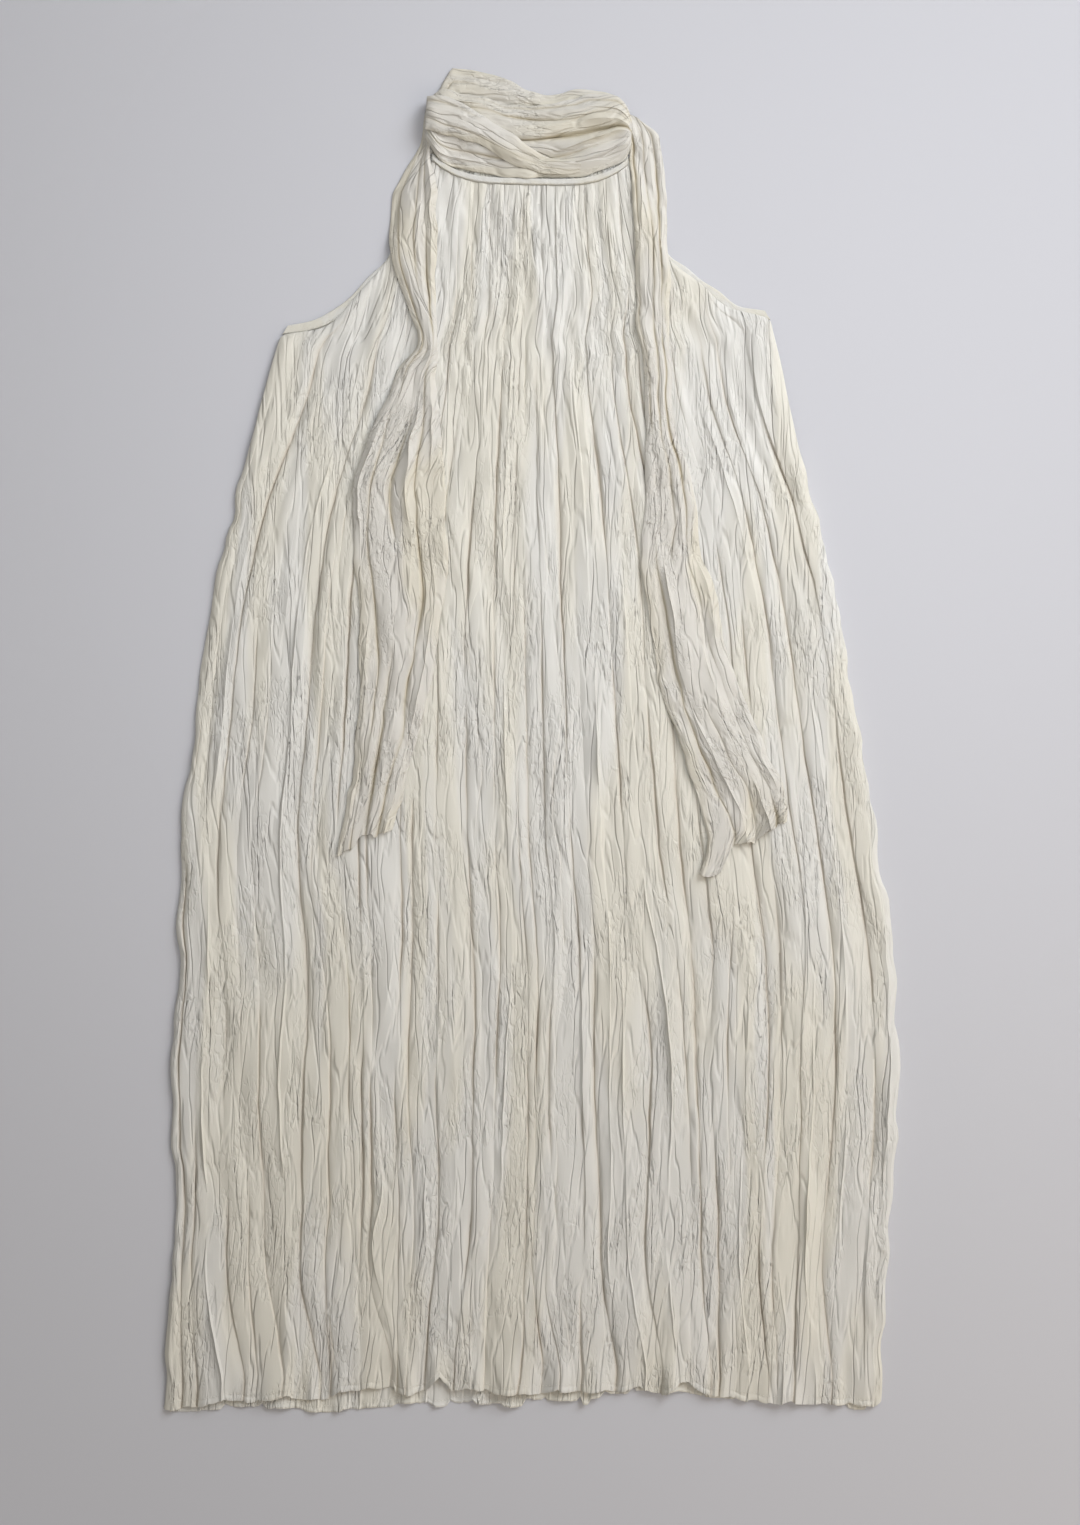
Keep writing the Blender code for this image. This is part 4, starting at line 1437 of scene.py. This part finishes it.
@dataclass
class BackPanel:
    """The back: creased too, and longer than the front."""

    laid: Laid
    name: str = "back_satin"
    node: str = "back_panel"
    pleats: int = 34
    spacing: float = 14.0  # of the finer creases between them
    inset: float = 5.3  # how far its sides lie under the front's
    binding: float = 9.3  # how far its armholes lie under their bindings
    floor_level: float = 0.62
    highest: float = 2.5
    row_pitch: float = 8.6
    first_rows: tuple[float, ...] = (0.0, 3.0, 7.0)
    last_rows: tuple[float, ...] = (9.0, 6.0, 4.2, 2.8, 1.6, 0.7, 0.0)
    full_width: float = 640.0
    hem_reach: float = 90.0
    hem_sag: float = 0.8
    hem_notch: float = 5.0
    hem_hang: float = 0.8
    hem_tilt: float = 1.5
    hem_bead: float = 0.6
    hem_lift: float = 4.0

    def sections(self) -> list[Section]:
        """Its sections: the armholes' and the sides', each moved in.

        Returns:
            The sections from the collar to the hem.
        """
        rows = inset_sections(ARMHOLES, self.binding)
        rows[0] = rows[0]._replace(first_y=ARMHOLES[0].first_y, second_y=ARMHOLES[0].second_y)
        for row in (UNDERARM, *SIDES):
            first_x, second_x = row.first_x + self.inset, row.second_x - self.inset
            rows.append(row._replace(first_x=first_x, second_x=second_x))
        return rows

    def creased(self, strip: Strip) -> Creases:
        """Give the panel its creases, which all stand up off the floor.

        Args:
            strip: The back's plan.

        Returns:
            The creases.
        """
        random = np.random.default_rng(81)
        gaps = random.uniform(0.5, 1.5, self.pleats)
        shares = np.concatenate([[0.0], np.cumsum(gaps) / gaps.sum()])
        heights = random.uniform(0.7, 1.9, self.pleats + 1)
        steps = random.uniform(-0.3, 0.3, self.pleats + 1)
        tables = [np.tile(values, (len(strip.along), 1)) for values in (shares, heights, steps)]
        creases = Creases(strip, *tables, seed=82, level_size=0.3, puff=-0.02)
        creases.wander(size=0.3, reach=120.0)
        creases.fill(self.spacing, restless=1.0, size=1.2)
        creases.heights = np.abs(creases.heights)
        creases.fade()
        return creases

    def build(self) -> bpy.types.Object:
        """Model the back panel.

        Returns:
            The piece.
        """
        sections = self.sections()
        length = Strip.distances(sections)[-1]
        along = spaced_rows(length, self.row_pitch, self.first_rows, self.last_rows)
        strip = Strip(sections, along)
        creases = self.creased(strip)
        places, raised, depth = creases.surface()
        plan = strip.plan(places)
        from_hem = length - along[:, None]
        count = creases.shares.shape[1]
        hang = np.random.default_rng(83).uniform(-self.hem_hang, self.hem_hang, count)
        tilt = np.random.default_rng(85).uniform(-self.hem_tilt, self.hem_tilt, count)
        hem_y = hem_course(plan[-1, :, 0], BACK_HEM, self.hem_sag, self.hem_notch)
        hang_hem(plan, from_hem, hem_y + creases.strays(hang, tilt), self.hem_reach)
        fine = 0.3 * np.abs(soft_noise(plan[..., 0], plan[..., 1], (8.0, 60.0), 84))
        bead = self.hem_bead * bell(from_hem - 1.6, 1.4)
        level = np.clip(self.floor_level + np.maximum(raised, 0) + fine + bead, 0, self.highest)
        lifted = np.clip(hem_waves(plan) + 0.2, 0.0, 1.0) * ramp(from_hem, 18, 0)
        points = np.dstack([plan, level + self.hem_lift * lifted])
        self.laid.add(points)
        return make_sheet(self.name, points, flat_map(places * self.full_width, along), 0 * depth)


def inset_sections(sections: Sequence[Section], distance: float) -> list[Section]:
    """Sections with both edges moved in towards the body.

    Args:
        sections: The sections from one end to the other.
        distance: How far the edges move.

    Returns:
        The new sections.
    """
    table = np.array(sections, float)
    moved = table.copy()
    for column, side in ((0, 1), (2, -1)):
        edge = table[:, column : column + 2]
        along = np.gradient(edge, axis=0)
        along /= np.linalg.norm(along, axis=1)[:, None]
        moved[:, column] -= side * distance * along[:, 1]
        moved[:, column + 1] += side * distance * along[:, 0]
    return [Section(*row) for row in moved.tolist()]


@dataclass
class ScarfPiece:
    """One stretch of the scarf: a strip with main folds along it, laid on what is under it."""

    name: str
    node: str
    sections: Sequence[Section]
    folds: Sequence[Fold]
    levels: Sequence[float]
    level_axis: int  # 0 if the levels are places in x, 1 if in y
    laid: Laid
    row_pitch: float
    seed: int
    first_rows: tuple[float, ...] = (0.0, 1.2, 2.6, 4.5)
    last_rows: tuple[float, ...] = (4.5, 2.8, 1.6, 0.8, 0.0)
    spacing: float = 9.0
    lift: float = 2.8  # the cloth's height over what it lies on
    lowest: float = 0.8
    arch: float = 1.3  # how much higher its middle stands
    edge_roll: float = 6.0  # how far in its edges are rolled
    edge_level: float = 0.9
    end_roll: tuple[float, float] = (0.0, 0.0)  # the same for its two ends
    end_level: float = 1.0
    thinnest: float = 0.6
    spread: int = 3
    softening: int = 8
    edge_ripple: float = 1.7
    crinkle: float = 0.75
    level_size: float = 1.6
    scallop: float = 0.0  # how far its far end strays from fold to fold, in plan
    end_reach: float = 32.0
    flare: float = 0.0  # and up and down
    flare_reach: float = 22.0
    end_line: Sequence[tuple[float, float]] = ((0.0, 0.0), (1.0, 0.0))

    def fold_shares(self, strip: Strip) -> np.ndarray:
        """Lay the table's folds along the strip.

        Args:
            strip: The stretch's plan.

        Returns:
            Shares across for each row and fold, with the two edges first and last.
        """
        marks = np.array(self.levels, float)
        sign = np.sign(marks[-1] - marks[0])
        middle = strip.middle()[:, self.level_axis]
        places = np.clip(sign * middle, sign * marks[0], sign * marks[-1])
        shares = np.array([fold.shares for fold in self.folds]).T
        inner = smooth_through(sign * marks, shares, places)
        edge = np.zeros((len(inner), 1))
        return np.concatenate([edge, inner, edge + 1], axis=1)

    def build(self) -> bpy.types.Object:
        """Model the stretch.

        Returns:
            The piece.
        """
        length = Strip.distances(self.sections)[-1]
        along = spaced_rows(length, self.row_pitch, self.first_rows, self.last_rows)
        strip = Strip(self.sections, along)
        strip.ripple_edges(self.edge_ripple, reach=30.0, seed=self.seed, rows=1.0)
        strip.ripple_edges(self.edge_ripple * 0.5, reach=11.0, seed=self.seed + 2, rows=1.0)
        heights = np.tile([0.0, *(fold.height for fold in self.folds), 0.0], (len(along), 1))
        steps = np.tile([0.0, *(fold.step for fold in self.folds), 0.0], (len(along), 1))
        creases = Creases(strip, self.fold_shares(strip), heights, steps, seed=self.seed + 4,
                          sharpness=1.2, level_size=self.level_size, level_reach=38.0,
                          narrowest=0.7)
        creases.wander(size=0.32, reach=60.0)
        creases.fill(self.spacing, restless=1.5, size=0.8)
        creases.fade()
        places, raised, depth = creases.surface()
        plan = strip.plan(places) + self.uneven_end(creases, strip, places)
        cloth = flat_map(places * strip.widths[:, None], along)
        across, lengthways = cloth[..., 0], cloth[..., 1]
        fine = self.crinkle * (puffs(across, lengthways, (13.0, 50.0), self.seed + 9)
                               + 0.5 * puffs(across, lengthways, (8.0, 18.0), self.seed + 12))
        body = self.lift + self.arch * (1 - (2 * places - 1) ** 2) + raised + fine
        inwards = np.minimum(across, strip.widths[:, None] - across)
        rolled = quarter_round(inwards, self.edge_roll)
        over = self.edge_level + (np.maximum(body, self.lowest) - self.edge_level) * rolled
        over = self.end_level + (over - self.end_level) * self.end_shares(along, length)[:, None]
        over = np.maximum(over + self.flared(creases, strip, length), self.thinnest)
        points = np.dstack([plan, self.laid.support(plan, self.spread, self.softening) + over])
        self.laid.add(points)
        return make_sheet(self.name, points, cloth, depth)

    def uneven_end(self, creases: Creases, strip: Strip, places: np.ndarray) -> np.ndarray:
        """Shifts along the strip that give its far end its line, uneven from fold to fold.

        Args:
            creases: The strip's creases.
            strip: Its plan.
            places: Shares across of the mesh's points.

        Returns:
            The shift of each point.
        """
        owner, fraction = creases.columns()
        random = np.random.default_rng(self.seed + 20)
        reach = random.uniform(-self.scallop, self.scallop, creases.shares.shape[1])[owner]
        reach = reach * np.where(fraction < AT_CREASE, 0.1, 1.0)
        reach = reach + np.interp(places[-1], *np.array(self.end_line).T)
        middle = (strip.first + strip.second) / 2
        onwards = (middle[-1] - middle[-4]) / np.linalg.norm(middle[-1] - middle[-4])
        near = ramp(strip.along[-1] - strip.along, self.end_reach, 0)
        return near[:, None, None] * reach[None, :, None] * onwards

    def flared(self, creases: Creases, strip: Strip, length: float) -> np.ndarray:
        """Wave the far end up and down from fold to fold.

        Args:
            creases: The strip's creases.
            strip: Its plan.
            length: Its length.

        Returns:
            The change of each point's height.
        """
        owner, fraction = creases.columns()
        count = creases.shares.shape[1]
        waves = np.random.default_rng(self.seed + 30).uniform(0.3, 1.0, count)
        waves = waves * np.resize([1.0, -0.8], count)
        height = waves[owner] * (1 - fraction) + waves[owner + 1] * fraction
        return self.flare * ramp(length - strip.along, self.flare_reach, 0)[:, None] * height[None]

    def end_shares(self, along: np.ndarray, length: float) -> np.ndarray:
        """Roll the strip's two ends down.

        Args:
            along: Each row's place along the strip.
            length: The strip's length.

        Returns:
            How far each row has risen from the ends, from 0 to 1.
        """
        share = np.ones_like(along)
        for radius, distance in zip(self.end_roll, (along, length - along)):
            if radius > LONG_ROLL:
                share = share * ease(distance / radius)
            elif radius > 0:
                share = share * quarter_round(distance, radius)
        return share


@dataclass
class Binding:
    """A narrow folded band of plain satin that binds an edge, between two lines of points."""

    name: str
    node: str
    first: np.ndarray
    second: np.ndarray
    low: float  # the height of its edges
    high: float  # and of its middle
    laid: Laid
    columns: int = 13
    round_off: float = 0.22  # the share of its width in which it rises
    pucker: float = 0.25
    thinnest: float = 0.8

    def build(self) -> bpy.types.Object:
        """Model the band as a rounded strip between its two edges.

        Returns:
            The piece.
        """
        share = np.linspace(0.0, 1.0, self.columns)
        plan = self.first[:, None] + share[None, :, None] * (self.second - self.first)[:, None]
        width = np.linalg.norm(self.second - self.first, axis=1).mean()
        cloth = flat_map(share * width, distances_along(self.first))
        dome = quarter_round(np.minimum(share, 1 - share) * width, width * self.round_off)
        puckers = self.pucker * soft_noise(cloth[..., 0], cloth[..., 1], (width, 4.0), 91)
        level = self.low + (self.high - self.low) * dome[None] + puckers * dome[None]
        points = np.dstack([plan, level])
        self.laid.add(points)
        thickness = max(self.thinnest, (self.high - self.low) * 0.6)
        return make_sheet(self.name, points, cloth, 0 * level, thickness)


def curve_points(points: Sequence[Sequence[float]], pitch: float) -> np.ndarray:
    """Read a smooth curve through points at even steps.

    Args:
        points: The x and y of the points that it passes through.
        pitch: The distance between steps.

    Returns:
        The curve's points.
    """
    marks = np.array(points, float)
    knots = distances_along(marks)
    count = max(4, round(knots[-1] / pitch))
    return smooth_through(knots, marks, np.linspace(0.0, knots[-1], count + 1))


def resample(points: np.ndarray, count: int) -> np.ndarray:
    """Read a line of points again at even steps.

    Args:
        points: The x and y of its points.
        count: How many points the new line has.

    Returns:
        The new line's points.
    """
    knots = distances_along(points)
    places = np.linspace(0.0, knots[-1], count)
    return np.stack([np.interp(places, knots, points[:, axis]) for axis in (0, 1)], axis=1)


@dataclass
class Stitching:
    """Rows of sewing in polyester thread, each one small stitch copied along a line."""

    name: str
    laid: Laid
    length: float = 2.3
    width: float = 0.5
    pitch: float = 3.2
    rise: float = 0.1  # how far its middle lies above the cloth

    def build(self, lines: Sequence[np.ndarray]) -> bpy.types.Object:
        """Lay stitches along lines over the cloth laid so far.

        Args:
            lines: The x and y of points along each line.

        Returns:
            All the stitches, joined.
        """
        bpy.ops.object.select_all(action="DESELECT")
        bpy.ops.mesh.primitive_uv_sphere_add(segments=6, ring_count=4, radius=0.5)
        stitch = bpy.context.object
        stitch.name = stitch.data.name = self.name
        pattern = stitch.data.copy()
        copies = []
        for line in lines:
            points = curve_points(line, self.pitch)
            for start, end in zip(points[:-1], points[1:]):
                copies.append(self.placed(pattern, (start + end) / 2, end - start))
        stitch.data = copies[0]
        for mesh in copies[1:]:
            copy = bpy.data.objects.new(self.name, mesh)
            bpy.context.scene.collection.objects.link(copy)
            copy.select_set(True)
        bpy.ops.object.join()
        bpy.ops.object.shade_smooth()
        return stitch

    def placed(self, pattern: bpy.types.Mesh, point: np.ndarray,
               step: np.ndarray) -> bpy.types.Mesh:
        """One stitch on the cloth, sunk a little into it.

        Args:
            pattern: A ball one unit wide.
            point: The x and y of its middle.
            step: Its direction.

        Returns:
            The stitch.
        """
        mesh = pattern.copy()
        place = Vector((*point, self.laid.height(*point) + self.rise)) * MM
        turn = Matrix.Rotation(math.atan2(step[1], step[0]), 4, "Z")
        size = Matrix.Diagonal((self.length * MM, self.width * MM, self.width * MM, 1.0))
        mesh.transform(Matrix.Translation(place) @ turn @ size)
        return mesh


@dataclass
class Dress:
    """The dress without its scarf: both panels and the bands that bind them."""

    laid: Laid
    crinkled: Satin = Satin("crinkled satin", "crinkle_satin")
    plain: Satin = Satin("plain binding satin", "binding_satin", crinkle_mm=0.15,
                         crinkle_across=4.0, crinkle_along=9.0)
    neck_width: float = 6.5
    armhole_width: float = 9.0
    stitch_inset: float = 1.6  # of the armholes' stitches from their bindings' inner edges
    neck_stitches: float = 1.3  # their height over the neckline
    hem_line_share: float = 0.985  # the share of the hems' width that is sewn
    run_on: float = 7.0  # how far an armhole binding's inner edge runs on to the side seam
    seam_gap: float = 0.3
    point_pitch: float = 3.0

    def build(self) -> None:
        """Model and dress the panels and bindings, from the ground up."""
        crinkled, plain = self.crinkled.make(), self.plain.make()
        lay(BackPanel(self.laid), crinkled, Cut(690, 1180, "laid"))
        self.sew("back_hem_stitches", [self.hem_line(BACK_HEM, above=6.0)], plain)
        for side in SIDE_COLUMNS:
            lay(self.armhole_binding(side), plain, Cut(10, 255, "folded"))
        self.sew("armhole_stitches", [self.armhole_line(side) for side in SIDE_COLUMNS], plain)
        cut = Cut(740, 1180, "laid", ("back_satin",))
        lay(FrontPanel(self.laid), crinkled, cut)
        self.sew("front_hem_stitches", [self.hem_line(FRONT_HEM, above=6.5)], plain)
        binding = self.neck_binding()
        lay(binding, plain, Cut(10, 195, "folded", ("front_satin",)))
        seam = binding.first[2:-2] + np.array([0.0, self.neck_stitches])
        self.sew("neckline_stitches", [seam], plain)

    def sew(self, name: str, lines: Sequence[np.ndarray], material: bpy.types.Material) -> None:
        """Sew lines of stitches on what is laid so far.

        Args:
            name: The stitches' name.
            lines: The x and y of points along each line.
            material: Their material.
        """
        dress(Stitching(name, self.laid).build(lines), None, material)

    def hem_line(self, corners: Sequence[tuple[float, float]], above: float) -> np.ndarray:
        """A line across the dress at a height above a hem.

        Args:
            corners: The hem's corners.
            above: The height.

        Returns:
            The line's points.
        """
        left, right = corners[0][0], corners[-1][0]
        x = np.linspace(self.hem_line_share * left, self.hem_line_share * right, 160)
        return np.stack([x, hem_course(x, corners, 1.0) + above], axis=1)

    def armhole_line(self, side: str) -> np.ndarray:
        """A line along an armhole, near its binding's inner edge.

        Args:
            side: Which armhole.

        Returns:
            The line's points.
        """
        inner = inset_sections(ARMHOLES, self.armhole_width - self.stitch_inset)
        return np.array(inner, float)[1:-1, SIDE_COLUMNS[side]]

    def armhole_binding(self, side: str) -> Binding:
        """The band along one armhole.

        Args:
            side: Which armhole.

        Returns:
            The band, ready to build.
        """
        outer = np.array(ARMHOLES, float)[:, SIDE_COLUMNS[side]]
        inner = np.array(inset_sections(ARMHOLES, self.armhole_width), float)[:, SIDE_COLUMNS[side]]
        inner[0, 1] = outer[0, 1]
        inner[-1, 0] += self.run_on if side == "right" else -self.run_on
        lines = [curve_points(line, self.point_pitch) for line in (outer, inner)]
        count = min(len(line) for line in lines)
        first, second = (resample(line, count) for line in lines)
        return Binding(side + "_armhole_binding", "armhole_binding_" + side, first, second,
                       low=1.3, high=2.5, laid=self.laid)

    def neck_binding(self) -> Binding:
        """The band just above the front's neckline.

        Returns:
            The band, ready to build.
        """
        line = Strip(FRONT_TOP, np.array([0.0])).plan(np.linspace(0.0, 1.0, 110)[None])[0]
        lower = line + np.array([0.0, self.seam_gap])
        upper = lower + np.array([0.0, self.neck_width])
        return Binding("neckline_binding", "neck_binding", lower, upper, low=3.6, high=6.2,
                       laid=self.laid)


@dataclass
class Scarf:
    """The scarf that is sewn to the collar: wound round the neck, with two tails down the front."""

    laid: Laid
    # painted shade: its satin is darker than the dress's, as shade in the collar's hollows, and its
    # folds a darker, browner shade
    finish: Satin = Satin("crinkled scarf satin", "scarf_satin", colour="#d3cfc5",
                          warm_colour="#d5cfbe", fold_shade_colour="#bbb199", crinkle_across=11.0,
                          crinkle_along=55.0)

    def build(self) -> None:
        """Model and dress the scarf's stretches, from the ground up."""
        material = self.finish.make()
        for piece, cut in self.stretches():
            lay(piece, material, cut)

    def stretches(self) -> list[tuple[ScarfPiece, Cut]]:
        """Describe the scarf's stretches.

        Returns:
            Each stretch, ready to build, and its cut.
        """
        front = ("front_satin",)
        return [
            (ScarfPiece("scarf_loop", "scarf_back", NECK_LOOP, LOOP_FOLDS, WRAP_LEVELS,
                        level_axis=0, laid=self.laid, row_pitch=2.2, seed=200, lift=3.0, arch=1.5,
                        edge_roll=4.0, end_roll=(6.0, 6.0), level_size=1.8, crinkle=0.8),
             Cut(78, 205, "folded")),
            (ScarfPiece("left_scarf_tail", "scarf_tail_left", LEFT_TAIL, LEFT_TAIL_FOLDS,
                        TAIL_LEVELS, level_axis=1, laid=self.laid, row_pitch=3.4, seed=220,
                        spacing=11.0, scallop=3.0, flare=2.4, end_line=LEFT_END),
             Cut(74, 715, "folded", front)),
            (ScarfPiece("right_scarf_tail", "scarf_tail_right", RIGHT_TAIL, RIGHT_TAIL_FOLDS,
                        RIGHT_TAIL_LEVELS, level_axis=1, laid=self.laid, row_pitch=3.4, seed=240,
                        spacing=11.0, scallop=3.0, flare=2.6, end_line=RIGHT_END),
             Cut(66, 735, "folded", front)),
            (ScarfPiece("scarf_under_turn", "scarf_front_under", UNDER_WRAP, UNDER_FOLDS,
                        WRAP_LEVELS, level_axis=0, laid=self.laid, row_pitch=2.0, seed=260,
                        lift=4.2, arch=2.6, edge_roll=15.0, end_roll=(12.0, 12.0), level_size=2.2,
                        crinkle=0.9),
             Cut(86, 215, "folded", front)),
            (ScarfPiece("scarf_over_turn", "scarf_front_over", OVER_WRAP, OVER_FOLDS, WRAP_LEVELS,
                        level_axis=0, laid=self.laid, row_pitch=2.0, seed=280, lift=3.2, arch=1.0,
                        edge_roll=6.0, end_roll=(9.0, 60.0), end_level=0.6, level_size=1.8,
                        crinkle=0.8),
             Cut(36, 135, "folded", ("scarf_under_turn",))),
        ]


class Light(NamedTuple):
    """A soft square light: its place, side, power in watts, colour and beam in degrees."""

    name: str
    place: tuple[float, float, float]
    side: float
    power: float
    colour: str
    beam: float = 180.0


LIGHTS = (
    Light("window", (2200.0, 2000.0, 1950.0), 1900.0, 94.0, "#f3f7ff"),
    Light("softbox", (150.0, 300.0, 2300.0), 600.0, 1.1, "#f4f8ff", 50.0),
    Light("fill", (1800.0, -1150.0, 1500.0), 1500.0, 14.0, "#ffecd8"),
)


@dataclass
class Studio:
    """The pale floor, soft light and camera."""

    photo_height: int = 1525
    mm_per_pixel: float = 0.95
    centre: tuple[float, float] = (7.9, -21.1)
    lens: float = 50.0
    sensor: float = 36.0
    floor_side: float = 8000.0
    floor_colour: str = "#ceced1"
    room_colour: str = "#f8f4f0"
    room_strength: float = 0.325

    def build(self) -> None:
        """Set up the floor, lights and camera."""
        self.add_floor()
        for light in LIGHTS:
            self.add_light(light)
        self.add_world()
        self.add_camera()
        bpy.context.scene.view_settings.view_transform = "Standard"

    def add_floor(self) -> None:
        """Lay a plain sheet of pale matt board under the dress, which gives no highlight."""
        bpy.ops.object.select_all(action="DESELECT")
        bpy.ops.mesh.primitive_plane_add(size=self.floor_side * MM)
        floor = bpy.context.object
        floor.name = "floor"
        material = bpy.data.materials.new("matt pale board")
        material.use_nodes = True
        tree = material.node_tree
        set_inputs(tree, tree.nodes["Principled BSDF"], {
            "Base Color": srgb(self.floor_colour), "Roughness": 0.8, "Specular IOR Level": 0.2,
        })
        floor.data.materials.append(material)

    def add_light(self, light: Light) -> None:
        """Add a light that faces the dress, or hangs straight down if its beam is narrow.

        Args:
            light: The light.
        """
        lamp = bpy.data.lights.new(light.name, "AREA")
        lamp.size = light.side * MM
        lamp.energy = light.power
        lamp.color = srgb(light.colour)[:3]
        lamp.spread = math.radians(light.beam)
        holder = bpy.data.objects.new(light.name, lamp)
        holder.location = Vector(light.place) * MM
        if light.beam == 180.0:
            holder.rotation_euler = (-Vector(light.place)).to_track_quat("-Z", "Y").to_euler()
        bpy.context.scene.collection.objects.link(holder)

    def add_world(self) -> None:
        """Light the room evenly and weakly."""
        world = bpy.data.worlds.new("room")
        world.use_nodes = True
        tree = world.node_tree
        set_inputs(tree, tree.nodes["Background"],
                   {"Color": srgb(self.room_colour), "Strength": self.room_strength})
        bpy.context.scene.world = world

    def add_camera(self) -> None:
        """Look straight down, so that the view is as tall as the photo shows."""
        camera = bpy.data.cameras.new("camera")
        camera.sensor_fit = "VERTICAL"
        camera.sensor_height = self.sensor
        camera.lens = self.lens
        height = self.photo_height * self.mm_per_pixel * self.lens / self.sensor
        holder = bpy.data.objects.new("camera", camera)
        holder.location = Vector((*self.centre, height)) * MM
        bpy.context.scene.collection.objects.link(holder)
        bpy.context.scene.camera = holder


def write_sizes() -> None:
    """Update the view layer."""
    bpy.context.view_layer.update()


def main() -> None:
    """Build the dress, then its scarf, then the studio."""
    logging.basicConfig(level=logging.INFO, format="%(message)s")
    laid = Laid()
    Dress(laid).build()
    Scarf(laid).build()
    Studio().build()
    write_sizes()


if __name__ == "__main__":
    main()
